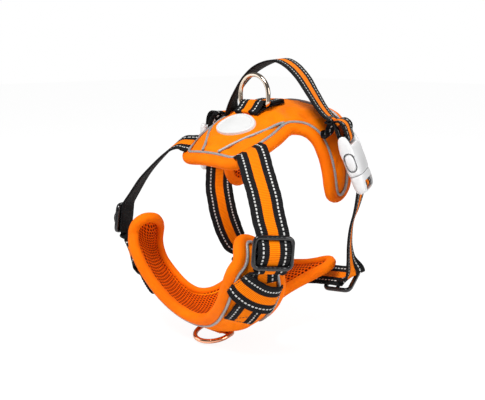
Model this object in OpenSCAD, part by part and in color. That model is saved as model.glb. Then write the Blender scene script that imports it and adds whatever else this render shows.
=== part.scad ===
// Padded no-pull harness for a small dog, shown as worn.
// Frame: +Z up, -Y towards the dog's head, +X the dog's left side.
// Origin: middle of the bar of the leash ring on the back.
// Paired parts are modelled on the left and mirrored to the right.

/* [Webbing] */
// Width of every strap
strap_width = 25; // [22:0.5:26]
// Thickness of one layer of strap
strap_thickness = 1.6; // [1.2:0.1:1.7]

/* [Back panel] */
// Half width of the neck edge of the back panel
neck_half_width = 27; // [24:1:30]
// Length of each side wing, measured round the body from the spine
wing_length = 105.5; // [98:0.5:108]
// Rear edge of the back panel, measured along the spine behind the ring
rear_edge = 46; // [43:1:49]

/* [Chest panel] */
// Length of each shoulder arm, measured round the body from the breastbone
arm_length = 119; // [112:1:121]
// Half width of the strip that passes between the front legs
waist_half_width = 24; // [20:1:28]

/* [Padding] */
// Total thickness of a padded panel
pad_thickness = 8; // [7:0.5:9]
// Thickness of the face fabric and of the mesh lining
skin_thickness = 1.0; // [0.8:0.1:1.2]
// Radius of the soft roll round each panel
roll_radius = 4.3; // [4:0.1:4.5]
// Radius of the reflective piping
piping_radius = 1.0; // [0.8:0.1:1.1]

/* [Metal rings] */
// Wire radius of the leash rings
wire_radius = 1.8; // [1.5:0.1:1.9]
// Inner width of the leash rings
ring_inner_width = 26.5; // [26:0.5:28]

/* [Buckles] */
// Width of the side-release buckle
buckle_width = 35; // [34:0.5:37]
// Thickness of the side-release buckle
buckle_thickness = 12; // [11:0.5:13]

/* [Handle] */
// Height of the top of the handle over the leash ring's bar
handle_height = 34; // [30:1:40]

/* [Hidden] */
$fn = 40;

gap = 0.15; // between layers that lie on each other

// Panel layers as [outer, inner] offsets from the outer face
shell_span = [0, -skin_thickness];
foam_span = [-skin_thickness - gap, -pad_thickness + skin_thickness + gap];
lining_span = [-pad_thickness + skin_thickness, -pad_thickness];

orange = [1.0, 0.45, 0.02];
deep_orange = [0.86, 0.3, 0.02];
grey = [0.62, 0.63, 0.65];
black = [0.07, 0.07, 0.08];
white = [0.95, 0.95, 0.95];
copper = [0.85, 0.55, 0.35];

// ---------- maths
function unit(v) = v / norm(v);
function sign_of(x) = x < 0 ? -1 : 1;
// Catmull-Rom curve through the points, at a fractional index
function spline_at(points, index) =
  let(
    last = len(points) - 1,
    i = min(max(floor(index), 0), last - 1),
    f = index - i,
    a = points[i],
    b = points[i + 1],
    before = i > 0 ? points[i - 1] : 2 * a - b,
    after = i < last - 1 ? points[i + 2] : 2 * b - a
  )
  0.5 * (2 * a + (b - before) * f + (2 * before - 5 * a + 4 * b - after) * f * f
    + (3 * a - before - 3 * b + after) * f * f * f);
// the same, at a share from 0 to 1 of the whole run
function point_at(points, share) = spline_at(points, share * (len(points) - 1));
function resample(points, count) = [for (i = [0:count]) point_at(points, i / count)];
function smoothstep(x) = let(c = min(max(x, 0), 1)) c * c * (3 - 2 * c);

// ---------- the dog's back
// Panel points are given by distance round the body from the centre line (across),
// place along the body, and height over the panel's outer face (out).
// Spine line from neck to loin, [y, z], and the body's radius at each station
spine_step = 11;
ring_station = 6;
spine = [
  [-56, -38.2], [-46.6, -32.6], [-37.5, -26.6], [-28.7, -20], [-19.6, -13.8], [-10.1, -8.2],
  [0, -3.8], [10.8, -1.2], [21.7, 0.2], [32.7, 1.0], [43.7, 1.4], [54.6, 1.0], [65.4, -0.4]
];
back_radii = [170, 160, 140, 110, 85, 72, 65, 61, 60, 60, 60, 60, 60];
function station(along) = along / spine_step + ring_station;
function spine_point(along) = spline_at(spine, station(along));
function spine_direction(along, reach) =
  unit(spine_point(along + reach) - spine_point(along - reach));
// the handle's pull lifts the rear shoulders of the panel
function lift(across, along) =
  7 * exp(-pow((abs(across) - 46) / 17, 2)) * smoothstep((along - 6) / 34);
back_point = function (across, along, out)
  let(
    radius = spline_at(back_radii, station(along)),
    angle = across / radius * 180 / PI,
    centre = spine_point(along),
    dir = spine_direction(along, 0.5),
    reach = radius + out + lift(across, along),
    rise = reach * cos(angle) - radius
  )
  [reach * sin(angle), centre[0] - dir[1] * rise, centre[1] + dir[0] * rise];

// ---------- the dog's chest
// Lowest line and body radius, one value per station from the front
chest_start = -80;
chest_step = 15;
chest_heights = [-152, -165, -170.5, -170.5, -166, -160, -153.5, -146, -138.5, -132];
chest_radii = [64, 73, 80, 81, 83, 92, 115, 145, 170, 180];
tip_in = 17; // how far the arms turn in, 40 mm beyond the bend
arm_bend = 80;
function chest_face(across, y) =
  let(
    index = (y - chest_start) / chest_step,
    radius = spline_at(chest_radii, index),
    lowest = spline_at(chest_heights, index),
    angle = across / radius * 180 / PI,
    bend = pow(max(0, abs(across) - arm_bend) / 40, 2)
  )
  [
    radius * sin(angle) - sign_of(across) * tip_in * bend,
    y,
    lowest + radius * (1 - cos(angle))
  ];
chest_point = function (across, y, out)
  chest_face(across, y) + out * unit(cross(
    chest_face(across, y + 0.5) - chest_face(across, y - 0.5),
    chest_face(across + 0.5, y) - chest_face(across - 0.5, y)
  ));
function normal_of(place, across, along) =
  unit(place(across, along, 1) - place(across, along, 0));

// ---------- flat patterns of the left halves, [across, along]
// Edges in order: front, side, rear, centre line. The front and rear edges run
// outwards, the other two run rearwards.
neck = neck_half_width;
wing = wing_length;
back_edges = [
  [[0, -57], [9, -57], [18, -57.1], [neck - 3, -57], [neck, -54]],
  [
    [neck, -54], [31, -45], [34, -33], [35, -20], [34, -7], [35, 4], [39.5, 13], [47, 18.5],
    [58, 22.5], [72, 24.5], [84, 24.8], [94, 25.6], [wing - 3, 28.4], [wing, 34]
  ],
  [
    [0, rear_edge], [20, rear_edge + 1], [40, rear_edge + 1.5], [60, rear_edge + 1],
    [78, rear_edge - 1], [wing - 13, rear_edge - 4], [wing - 4, rear_edge - 7.5], [wing, 34]
  ],
  [for (y = [-57, -49, -39, -28, -16, -5, 4, 11, 18, 24, 30, 36, 41, rear_edge]) [0, y]]
];
arm = arm_length;
waist = waist_half_width;
chest_edges = [
  [[0, -64], [22, -67], [44, -73], [62, -77], [78, -78], [92, -74], [arm - 6, -68], [arm, -62]],
  [
    [arm, -62], [arm, -57], [arm - 5, -52], [98, -49], [81, -46], [66, -42], [50, -38],
    [37, -31.5], [waist + 3.5, -20], [waist, -6], [waist + 2, 8], [waist + 8.5, 20],
    [waist + 17, 30.5], [waist + 26, 40]
  ],
  [[0, 34], [12, 34.6], [24, 36.2], [waist + 13, 39], [waist + 20.5, 41], [waist + 26, 40]],
  [for (y = [-64, -59, -54, -49, -44, -39, -33, -26, -17, -6, 5, 15, 25, 34]) [0, y]]
];
// Coons patch between the four edges; p runs outwards and q rearwards, both 0 to 1
function patch(edges, p, q) =
  let(front = edges[0], rear = edges[2])
  (1 - p) * point_at(edges[3], q) + p * point_at(edges[1], q)
    + (1 - q) * point_at(front, p) + q * point_at(rear, p)
    - ((1 - p) * (1 - q) * front[0] + p * (1 - q) * front[len(front) - 1]
      + (1 - p) * q * rear[0] + p * q * rear[len(rear) - 1]);
// closed outline of both halves; steps are counted along front, side and rear
function outline(edges, steps) =
  let(
    half = concat(
      [for (i = [0:steps[0]]) point_at(edges[0], i / steps[0])],
      [for (i = [1:steps[1]]) point_at(edges[1], i / steps[1])],
      [for (i = [1:steps[2]]) point_at(edges[2], 1 - i / steps[2])]
    )
  )
  concat(half, [for (i = [len(half) - 2:-1:1]) [-half[i][0], half[i][1]]]);
back_outline = outline(back_edges, [8, 26, 12]);
chest_outline = outline(chest_edges, [15, 30, 7]);

// ---------- builders
columns_per_side = 8;
panel_rows = 21;
// one layer of a panel; span holds its outer and inner offsets
module layer(place, edges, span, flip = false) {
  rows = panel_rows + 1;
  columns = 2 * columns_per_side + 1;
  count = columns * rows;
  flat = [for (i = [-columns_per_side:columns_per_side]) for (j = [0:panel_rows])
    let(c = patch(edges, abs(i) / columns_per_side, j / panel_rows)) [sign_of(i) * c[0], c[1]]];
  points = [for (out = span) for (f = flat) place(f[0], f[1], out)];
  outer = [for (i = [0:columns - 2]) for (j = [0:panel_rows - 1])
    let(a = i * rows + j, b = a + 1, c = a + rows, d = c + 1) each [[a, b, d], [a, d, c]]];
  inner = [for (t = outer) [t[0] + count, t[2] + count, t[1] + count]];
  // rim edges, each joined to its copy on the inner face
  rim = concat(
    [for (i = [0:columns - 2]) [i * rows, (i + 1) * rows]],
    [for (i = [0:columns - 2]) [(i + 2) * rows - 1, (i + 1) * rows - 1]],
    [for (j = [0:panel_rows - 1]) [j + 1, j]],
    [for (j = [0:panel_rows - 1]) [count - rows + j, count - rows + j + 1]]
  );
  walls = [for (e = rim)
    each [[e[0], e[1], e[1] + count], [e[0], e[1] + count, e[0] + count]]];
  faces = concat(outer, inner, walls);
  polyhedron(points, flip ? [for (t = faces) [t[0], t[2], t[1]]] : faces);
}
// a round cord along a line on a panel, moved outwards in the panel by shift
// and off its face by out
module cord(place, line, shift, out, radius, sides, closed = true) {
  count = len(line);
  all = [0:count - 1];
  next = [for (k = all) closed ? (k + 1) % count : min(k + 1, count - 1)];
  prev = [for (k = all) closed ? (k + count - 1) % count : max(k - 1, 0)];
  normals = [for (p = line) normal_of(place, p[0], p[1])];
  base = [for (p = line) place(p[0], p[1], out)];
  outward = [for (k = all)
    let(t = line[next[k]] - line[prev[k]], m = line[k] + 0.5 * unit([t[1], -t[0]]))
    place(m[0], m[1], out) - base[k]];
  aside = [for (k = all) unit(cross(base[next[k]] - base[prev[k]], normals[k]))];
  centres = [for (k = all) base[k] + shift * sign_of(aside[k] * outward[k]) * aside[k]];
  tangents = [for (k = all) unit(centres[next[k]] - centres[prev[k]])];
  across = [for (k = all) unit(cross(tangents[k], normals[k]))];
  up = [for (k = all) cross(across[k], tangents[k])];
  points = [for (k = all) for (a = [0:sides - 1])
    let(angle = a * 360 / sides)
    centres[k] + radius * (cos(angle) * across[k] + sin(angle) * up[k])];
  wall = [for (k = [0:closed ? count - 1 : count - 2]) for (a = [0:sides - 1])
    let(
      row = k * sides,
      row2 = (k + 1) % count * sides,
      a2 = (a + 1) % sides
    )
    each [[row + a, row2 + a2, row2 + a], [row + a, row + a2, row2 + a2]]];
  end = (count - 1) * sides;
  caps = closed ? [] : concat(
    [for (a = [1:sides - 2]) [0, a + 1, a]],
    [for (a = [1:sides - 2]) [end, end + a, end + a + 1]]
  );
  polyhedron(points, concat(wall, caps));
}
function tangent(line, k) = unit(line[min(k + 1, len(line) - 1)] - line[max(k - 1, 0)]);
// a flat strap through the centres; its width runs close to the given hints
module strip(centres, hints, width = strap_width, thickness = strap_thickness) {
  last = len(centres) - 1;
  points = [for (k = [0:last])
    let(
      t = tangent(centres, k),
      side = unit(hints[k] - (hints[k] * t) * t),
      w = side * width / 2,
      h = cross(side, t) * thickness / 2,
      c = centres[k]
    )
    each [c + w + h, c - w + h, c - w - h, c + w - h]];
  walls = [for (k = [0:last - 1]) for (a = [0:3])
    let(p = 4 * k + a, q = 4 * k + (a + 1) % 4) each [[p, q + 4, p + 4], [p, q, q + 4]]];
  end = 4 * last;
  caps = [[0, 2, 1], [0, 3, 2], [end, end + 1, end + 2], [end, end + 2, end + 3]];
  polyhedron(points, concat(walls, caps));
}
// the same, given by the normals of its face
module ribbon(centres, normals, width = strap_width, thickness = strap_thickness) {
  hints = [for (k = [0:len(centres) - 1]) unit(cross(tangent(centres, k), normals[k]))];
  strip(centres, hints, width, thickness);
}
// radius of a strap's centre line where it wraps round a bar
function wrap_radius(bar_radius) = bar_radius + 0.3 + strap_thickness / 2;
module right() {
  mirror([1, 0, 0]) children();
}
module frame(origin, X, Y, Z) {
  multmatrix([
    [X[0], Y[0], Z[0], origin[0]],
    [X[1], Y[1], Z[1], origin[1]],
    [X[2], Y[2], Z[2], origin[2]],
    [0, 0, 0, 1]
  ]) children();
}

// ---------- back panel
module back_shell() {
  color(orange) layer(back_point, back_edges, shell_span);
}
module back_foam() {
  color("khaki") layer(back_point, back_edges, foam_span);
}
module back_lining() {
  color(deep_orange) layer(back_point, back_edges, lining_span);
}
module back_rim() {
  color(orange)
    cord(back_point, back_outline, roll_radius + 0.9, -pad_thickness / 2, roll_radius, 8);
}
module back_piping() {
  color(grey) cord(back_point, back_outline, 0.5, piping_radius + 0.7, piping_radius, 6);
}
// curved piping on each shoulder of the panel, from the neck edge to the side edge
module accent_line() {
  line = [[8.5, -54], [13, -47], [19, -38], [25, -29], [29.5, -19], [31, -9.5]];
  cord(back_point, resample(line, 12), 0, piping_radius + 0.2, piping_radius, 6, closed = false);
}
module accent_piping() {
  color(grey) {
    accent_line();
    right() accent_line();
  }
}

// ---------- chest panel
module chest_shell() {
  color(orange) layer(chest_point, chest_edges, shell_span, flip = true);
}
module chest_foam() {
  color("khaki") layer(chest_point, chest_edges, foam_span, flip = true);
}
module chest_lining() {
  color(deep_orange) layer(chest_point, chest_edges, lining_span, flip = true);
}
module chest_rim() {
  color(orange)
    cord(chest_point, chest_outline, roll_radius + 2.4, -pad_thickness / 2, roll_radius, 8);
}
module chest_piping() {
  color(grey) cord(chest_point, chest_outline, 0.3, piping_radius + 0.6, piping_radius, 6);
}

// ---------- badge: a soft rubber oval with a raised border
badge_along = -23.5;
badge_width = 38;
badge_length = 25;
module oval(inset) {
  width = badge_width - inset;
  scale([1, (badge_length - inset) / width, 1]) circle(width / 2, $fn = 64);
}
module badge() {
  d = spine_direction(badge_along, 1);
  color(white) frame(back_point(0, badge_along, 0.2), [1, 0, 0], [0, d[0], d[1]], [0, -d[1], d[0]]) {
    linear_extrude(1.5) oval(0);
    translate([0, 0, 1.4]) linear_extrude(0.7) difference() {
      oval(0.8);
      oval(4);
    }
  }
}

// ---------- strap along the spine, with the tunnel that holds the ring
module spine_base() {
  stations = [for (along = [-8.5:2.8:19.5]) along];
  color(black) ribbon(
    [for (along = stations) back_point(0, along, gap + strap_thickness / 2)],
    [for (along = stations) normal_of(back_point, 0, along)]
  );
}
module spine_webbing() {
  out = gap + strap_thickness + 0.1 + strap_thickness / 2; // it lies on the base strap
  top = wrap_radius(wire_radius);
  centres = concat(
    [for (along = [-9, -7.6, -6.2]) back_point(0, along, out)],
    [
      [0, -4.3, -0.6], [0, -3, 1.0], [0, -1.6, top - 0.35], [0, 0, top],
      [0, 1.6, top - 0.2], [0, 3.3, top - 0.8], [0, 5.2, top - 1.4]
    ],
    [for (along = [8.5, 11, 14, 17, 20]) back_point(0, along, out)]
  );
  color(black) ribbon(centres, [for (c = centres) [0, -0.2, 1]]);
}

// ---------- leash rings: a straight bar on X closed by a round bow above it
module d_ring(bow_height) {
  half = ring_inner_width / 2 + wire_radius;
  corner = 3.0;
  rotate([90, 0, 0]) {
    translate([0, bow_height, 0])
      rotate_extrude(angle = 180) translate([half, 0]) circle(wire_radius, $fn = 24);
    for (m = [0, 1]) mirror([m, 0, 0]) {
      translate([half, corner, 0])
        rotate([-90, 0, 0]) cylinder(r = wire_radius, h = bow_height - corner, $fn = 24);
      translate([half - corner, corner, 0]) rotate([0, 0, -90])
        rotate_extrude(angle = 90) translate([corner, 0]) circle(wire_radius, $fn = 24);
    }
    translate([-(half - corner), 0, 0])
      rotate([0, 90, 0]) cylinder(r = wire_radius, h = 2 * (half - corner), $fn = 24);
  }
}
module back_ring() {
  color(copper) d_ring(8);
}

// ---------- handle: one arch of strap across the back, from right to left
module handle() {
  centres = [
    [-50.5, 25, -5.6], [-46.5, 25, 3], [-40, 25.6, 12.5], [-30, 26.8, 22.5], [-17, 28.4, 30.3],
    [-2, 30, handle_height], [9.5, 30.8, handle_height - 3], [21.5, 31, 22.5],
    [32.5, 29.6, 11.5], [41.5, 27.8, 2.6], [50.3, 26.0, -4.6]
  ];
  hints = [
    [-0.42, 0.88, 0.2], [-0.42, 0.88, 0.2], [-0.38, 0.9, 0.18], [-0.25, 0.95, 0.15],
    [-0.1, 0.98, 0.1], [-0.1, 0.99, 0.05], [-0.14, 0.98, 0], [-0.22, 0.97, -0.04],
    [-0.34, 0.93, -0.1], [-0.43, 0.89, -0.1], [-0.45, 0.88, -0.1]
  ];
  color(black) strip(resample(centres, 34), resample(hints, 34));
}
// stitched patch where the handle meets the anchor strap
tack_start = [53.2, 26.4, -9.4];
tack_end = [55.4, 27.0, -10.9];
module handle_tack() {
  raise = 4 * unit([0.66, 0.38, 0.64]);
  hint = [-0.45, 0.88, -0.05];
  color(black) strip([tack_start + raise, tack_end + raise], [hint, hint], 22, 0.6);
}

// ---------- side-release buckles
// Frame: x rearwards, y up the strap, z outwards; y = 0 at the socket's mouth
buckle_up = unit([-0.3, -0.22, 0.93]);
buckle_out = unit(cross([-0.45, 0.885, 0.07], buckle_up));
buckle_rear = cross(buckle_up, buckle_out);
socket_bar_y = 27.5;
socket_bar_r = 1.9;
buckle_origin = [69.5, 29, -23.5] - socket_bar_y * buckle_up;
function on_buckle(y, z) = buckle_origin + y * buckle_up + z * buckle_out;
// a point on a strap round a bar at height y; angle 0 is outwards, 90 is up
function round_bar(y, radius, angle) = on_buckle(y + radius * sin(angle), radius * cos(angle));
module in_buckle() {
  frame(buckle_origin, buckle_rear, buckle_up, buckle_out) children();
}
cavity_width = buckle_width - 4.4;
// a block with rounded long edges, from y0 to y1
module slab(width, y0, y1, thickness) {
  r = 2.2;
  translate([0, y0, 0]) rotate([-90, 0, 0]) linear_extrude(y1 - y0) {
    square([width, thickness - 2 * r], center = true);
    square([width - 2 * r, thickness], center = true);
    for (x = [-1, 1]) for (z = [-1, 1])
      translate([x * (width / 2 - r), z * (thickness / 2 - r)]) circle(r, $fn = 24);
  }
}
module socket() {
  body_height = 22.5;
  cavity_thickness = 7.4;
  post_r = 2.3;
  post_x = buckle_width / 2 - post_r;
  // side windows: slots with round ends
  window_r = 3.4;
  window_y = [6.5, 14.5];
  color(white) difference() {
    union() {
      slab(buckle_width, 0, body_height, buckle_thickness);
      for (x = [-1, 1]) translate([x * post_x, body_height - 2, 0])
        rotate([-90, 0, 0]) cylinder(r = post_r, h = socket_bar_y - body_height + 2);
      for (x = [-1, 1]) translate([x * post_x, socket_bar_y, 0]) sphere(post_r);
      translate([-post_x, socket_bar_y, 0])
        rotate([0, 90, 0]) cylinder(r = socket_bar_r, h = 2 * post_x);
    }
    translate([-cavity_width / 2, -1, -cavity_thickness / 2])
      cube([cavity_width, 20.6, cavity_thickness]);
    for (x = [-1, 1]) {
      for (y = window_y) translate([x * buckle_width / 2, y, 0])
        rotate([0, 90, 0]) cylinder(r = window_r, h = 8, center = true);
      translate([x * buckle_width / 2 - 4, window_y[0], -window_r])
        cube([8, window_y[1] - window_y[0], 2 * window_r]);
    }
  }
}
plug_bar_y = -9.6;
plug_bar_r = 1.8;
// body with a strap slot and its bar, and the middle tongue
module plug() {
  slot_side = 0.75;
  color(white) {
    difference() {
      slab(buckle_width - 1, -14, -0.3, buckle_thickness - 0.6);
      translate([-strap_width / 2 - slot_side, plug_bar_y - 5.6, -10])
        cube([strap_width + 2 * slot_side, 9.6, 20]);
    }
    translate([-buckle_width / 2 + 2, plug_bar_y, 0])
      rotate([0, 90, 0]) cylinder(r = plug_bar_r, h = buckle_width - 4);
    translate([-2.6, -1.2, -2.2]) cube([5.2, 19, 4.4]);
  }
}
module latch() {
  edge = cavity_width / 2 - 0.2;
  thickness = 5.6;
  color(white) translate([0, 0, -thickness / 2]) linear_extrude(thickness) polygon([
    [8.6, 0.1], [11.4, 0.1], [12.4, 3], [edge - 0.9, 4.8], [edge, 7], [edge, 13],
    [edge - 0.6, 15.6], [11.8, 17.6], [10.0, 17.2], [9.4, 14], [9.6, 6]
  ]);
}
module latch_rear() {
  in_buckle() latch();
}
module latch_front() {
  in_buckle() mirror([1, 0, 0]) latch();
}

// ---------- strap sewn to the panel's rear shoulder, looped round the socket bar
module anchor() {
  wrap = wrap_radius(socket_bar_r);
  lean = [-0.25, 0.95, 0.03];
  centres = concat(
    [
      back_point(50, 30, 3.0), back_point(54, 30, 3.0), [58.5, 30, -16.2], [62.6, 29.4, -17.2],
      on_buckle(socket_bar_y + 4.6, -wrap - 0.1)
    ],
    [for (angle = [185:25:360]) round_bar(socket_bar_y, wrap, angle)],
    [
      on_buckle(socket_bar_y + 4.8, wrap + 0.2), [69.2, 29.2, -13.0], [65.6, 29.2, -10.0],
      [61.8, 29.0, -10.0], [57.5, 27.9, -11.9], tack_start + [-0.4, -0.1, 0.1]
    ]
  );
  hints = concat(
    [[0, 1, 0], [0, 1, 0], lean, lean],
    [for (k = [4:len(centres) - 1]) buckle_rear]
  );
  color(black) strip(centres, hints);
}

// ---------- girth strap: round the plug bar, down the flank and in under the belly
// Frame at the slider: the strap runs inwards and its face looks down
girth_origin = [55, 48.2, -138.8];
girth_in = unit([-1, -0.28, -0.04]);
girth_face = unit(cross(girth_in, [-0.12, 0.88, 0.40]));
function on_girth(inward, out) = girth_origin + inward * girth_in + out * girth_face;
module girth_strap() {
  wrap = wrap_radius(plug_bar_r);
  angles = [for (angle = [-50:24:140]) angle];
  centres = [
    on_buckle(plug_bar_y - 2.5, -wrap - 0.1), [77, 33.8, -78], [73.6, 32.8, -90],
    [71.2, 34, -103], [68.8, 37.6, -117], [66.6, 42.6, -129], [63.4, 47.6, -136.8]
  ];
  normals = [
    buckle_out, [0.87, 0.48, 0.1], [0.87, 0.5, 0.08], [0.87, 0.5, 0.03],
    [0.87, 0.5, -0.06], [0.8, 0.45, -0.4], [0.45, 0.05, -0.9]
  ];
  tail = [-5.5, 4, 12.5, 17];
  color(black) ribbon(
    concat(
      [for (a = angles) round_bar(plug_bar_y, wrap, a)],
      resample(centres, 20),
      [for (inward = tail) on_girth(inward, 0)]
    ),
    concat(
      [for (a = angles) buckle_up * sin(a) + buckle_out * cos(a)],
      resample(normals, 20),
      [for (inward = tail) girth_face]
    )
  );
}

// ---------- three-bar sliders, in a frame: x across the strap, y along it, z off the face
slider_r = 1.5;
slider_bar_r = slider_r * 0.95;
slider_out = strap_thickness / 2 + slider_r + 0.5;
module slider() {
  x = 30 / 2 - slider_r; // outer size 30 by 24
  y = 24 / 2 - slider_r;
  corner = 2.6;
  color(black) {
    for (m = [0, 1]) mirror([m, 0, 0]) {
      translate([x, -(y - corner), 0])
        rotate([-90, 0, 0]) cylinder(r = slider_r, h = 2 * (y - corner), $fn = 24);
      for (k = [0, 1]) mirror([0, k, 0]) translate([x - corner, y - corner, 0])
        rotate_extrude(angle = 90) translate([corner, 0]) circle(slider_r, $fn = 24);
    }
    for (end = [-y, y]) translate([-(x - corner), end, 0])
      rotate([0, 90, 0]) cylinder(r = slider_r, h = 2 * (x - corner), $fn = 24);
    translate([-x, 0, 0]) rotate([0, 90, 0]) cylinder(r = slider_bar_r, h = 2 * x, $fn = 24);
  }
}
module girth_slider() {
  frame(on_girth(1.5, slider_out + 0.4), cross(girth_face, girth_in), girth_in, girth_face)
    slider();
}

// ---------- neck strap: back panel to slider to keeper
neck_origin = [81.3, -66, -93];
neck_up = unit([-0.02, 0.12, 1]);
neck_face = unit(cross([0.5, 0.86, -0.08], neck_up));
neck_across = cross(neck_up, neck_face);
function on_neck(up, out) = neck_origin + up * neck_up + out * neck_face;
module neck_slider() {
  frame(neck_origin, neck_across, neck_up, neck_face) translate([0, 0, slider_out]) slider();
}
module neck_strap() {
  centres = [
    back_point(neck_half_width + 9, -37.5, 4.9), [37.5, -42.4, -26.5], [45, -47, -33],
    [54.5, -52, -43.5], [66, -57.5, -57], [74.5, -62, -71], on_neck(12, -0.3)
  ];
  hints = [
    [0.35, 0.9, 0.27], [0.37, 0.9, 0.25], [0.42, 0.88, 0.22], [0.48, 0.86, 0.16],
    [0.53, 0.84, 0.08], [0.57, 0.82, 0], neck_across
  ];
  tail = [[7, 0], [-5, 0], [-10, -0.3], [-14.5, -1.6]]; // [up, out]
  color(black) strip(
    concat(resample(centres, 18), [for (p = tail) on_neck(p[0], p[1])]),
    concat(resample(hints, 18), [for (p = tail) neck_across])
  );
}
// short piece of strap over the slider's middle bar
module neck_loop() {
  top = slider_out + wrap_radius(slider_bar_r);
  foot = slider_out - 0.2;
  flank = slider_out + 1.3;
  path = [
    [7.6, foot], [4.6, flank], [2.2, top], [0, top + 0.25], [-2.2, top], [-4.6, flank], [-7.6, foot]
  ]; // [up, out]
  color(black)
    ribbon([for (p = path) on_neck(p[0], p[1])], [for (p = path) neck_face], strap_width - 1.4);
}

// ---------- keeper: short strap sewn across the shoulder arm, over the arm strap
function up_arm(across, y) = unit(chest_face(across + 1, y) - chest_face(across - 1, y));
module keeper() {
  path = [
    [76.5, -73.2, 2.0], [77.2, -71.4, 3.6], [78.8, -67.5, 4.2], [80, -63, 4.3],
    [81.2, -58.5, 4.2], [82.4, -54.0, 3.6], [83, -52.2, 2.0]
  ]; // [across, y, out]
  color(black)
    strip([for (p = path) chest_point(p[0], p[1], p[2])], [for (p = path) up_arm(p[0], p[1])]);
}
// ---------- arm strap: lies along the shoulder arm, under the keeper
module arm_strap() {
  path = [
    [50, -62.5, 1.1], [56, -63.2, 1.1], [62, -63.8, 1.1], [68, -64, 1.1],
    [74, -64, 1.2], [80, -63.5, 1.3], [86, -63, 1.2], [91, -63, 1.1]
  ]; // [across, y, out]
  color(black) ribbon(
    [for (p = path) chest_point(p[0], p[1], p[2])],
    [for (p = path) normal_of(chest_point, p[0], p[1])],
    17
  );
}

// ---------- front ring, its bow forwards and dipping, and the tab that holds its bar
front_ring_at = [0, -38, -174.9];
front_ring_dip = 12;
module front_ring() {
  color(copper) translate(front_ring_at) rotate([90 + front_ring_dip, 0, 0]) d_ring(7);
}
module ring_patch() {
  thickness = 1.2;
  wrap = wire_radius + 0.35 + thickness / 2;
  path = [
    [-46.5, 0.4], [-44, -0.2], [-41.6, -1.5], [-39.9, -wrap + 0.35], [-38, -wrap],
    [-36.1, -wrap + 0.35], [-34.4, -1.3], [-32, 1.4], [-29, 3.4], [-26, 4.4]
  ]; // [y, height over the ring's bar]
  color(orange) ribbon(
    [for (p = path) [0, p[0], front_ring_at[2] + p[1]]],
    [for (p = path) [0, 0, -1]],
    21,
    thickness
  );
}

back_shell();
back_foam();
back_lining();
back_rim();
back_piping();
accent_piping();
badge();
spine_webbing();
spine_base();
back_ring();
handle();
handle_tack();  // handle_tack_left
right() handle_tack();  // handle_tack_right
anchor();  // anchor_left
right() anchor();  // anchor_right
in_buckle() socket();  // socket_left
right() in_buckle() socket();  // socket_right
in_buckle() plug();  // plug_left
right() in_buckle() plug();  // plug_right
latch_front();  // latch_left_front
latch_rear();  // latch_left_rear
right() latch_front();  // latch_right_front
right() latch_rear();  // latch_right_rear
girth_strap();  // girth_strap_left
right() girth_strap();  // girth_strap_right
girth_slider();  // girth_slider_left
right() girth_slider();  // girth_slider_right
neck_strap();  // neck_strap_left
right() neck_strap();  // neck_strap_right
neck_slider();  // neck_slider_left
right() neck_slider();  // neck_slider_right
neck_loop();  // neck_loop_left
right() neck_loop();  // neck_loop_right
keeper();  // keeper_left
right() keeper();  // keeper_right
arm_strap();  // arm_strap_left
right() arm_strap();  // arm_strap_right
ring_patch();
front_ring();
chest_shell();
chest_foam();
chest_lining();
chest_rim();
chest_piping();
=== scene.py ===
# A padded harness: a back panel and a chest panel joined by neck and girth straps, with a
# handle, two side-release buckles, four three-bar sliders and two metal rings.
# X runs across it, with +X the left side. Y runs from the neck end (-) to the tail end (+).
# Z is up: the back panel lies near z = 0 and the chest panel near z = -170 mm.
# Shapes are worked out in mm for the left side, and mirrored in X for the right.
import math
from types import SimpleNamespace

import bmesh
import bpy
import numpy as np
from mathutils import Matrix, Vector, noise


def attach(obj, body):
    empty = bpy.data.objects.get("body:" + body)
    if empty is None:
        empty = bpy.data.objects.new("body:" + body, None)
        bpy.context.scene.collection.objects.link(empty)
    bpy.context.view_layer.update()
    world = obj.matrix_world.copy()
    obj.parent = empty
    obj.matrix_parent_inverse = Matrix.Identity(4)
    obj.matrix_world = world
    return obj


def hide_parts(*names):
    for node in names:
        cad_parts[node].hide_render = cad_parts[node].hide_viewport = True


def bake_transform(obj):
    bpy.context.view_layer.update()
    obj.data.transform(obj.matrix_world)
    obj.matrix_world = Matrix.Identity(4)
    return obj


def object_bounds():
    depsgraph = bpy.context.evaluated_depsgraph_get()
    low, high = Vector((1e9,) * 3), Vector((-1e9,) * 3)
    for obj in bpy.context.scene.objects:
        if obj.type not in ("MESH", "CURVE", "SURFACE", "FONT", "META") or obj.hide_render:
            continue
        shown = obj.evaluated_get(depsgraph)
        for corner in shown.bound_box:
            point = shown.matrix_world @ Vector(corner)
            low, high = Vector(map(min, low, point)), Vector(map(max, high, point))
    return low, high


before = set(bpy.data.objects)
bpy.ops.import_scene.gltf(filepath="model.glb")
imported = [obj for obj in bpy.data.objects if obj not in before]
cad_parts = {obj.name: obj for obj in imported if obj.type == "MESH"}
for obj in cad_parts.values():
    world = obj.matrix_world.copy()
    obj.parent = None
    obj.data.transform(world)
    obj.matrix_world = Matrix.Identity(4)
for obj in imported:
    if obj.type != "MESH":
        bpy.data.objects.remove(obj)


def plain(box):
    return [[float(x) for x in corner] for corner in box]


CAD_BOX = plain(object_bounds())
MM = 0.001
SIDES = ("left", "right")
scene = bpy.context.scene

# ---------------------------------------------------------------- driving dimensions, in mm
WEB_WIDTH, WEB_THICK = 25.0, 1.6
PAD_THICK = 8.0
RING_WIRE_R = 1.8
ANCHOR_BAR_Y, ANCHOR_BAR_R = 27.5, 1.9  # bar of the buckle socket, in the buckle's frame
PLUG_BAR_Y, PLUG_BAR_R = -9.6, 1.8      # bar of the buckle plug
SLIDER_BAR_R = 1.5
SLIDER_LIFT = WEB_THICK / 2 + SLIDER_BAR_R + 0.5  # from the strap's middle to the slider's
BADGE_Y, BADGE_HALF_X, BADGE_HALF_Y = -23.5, 19, 12.6


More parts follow.
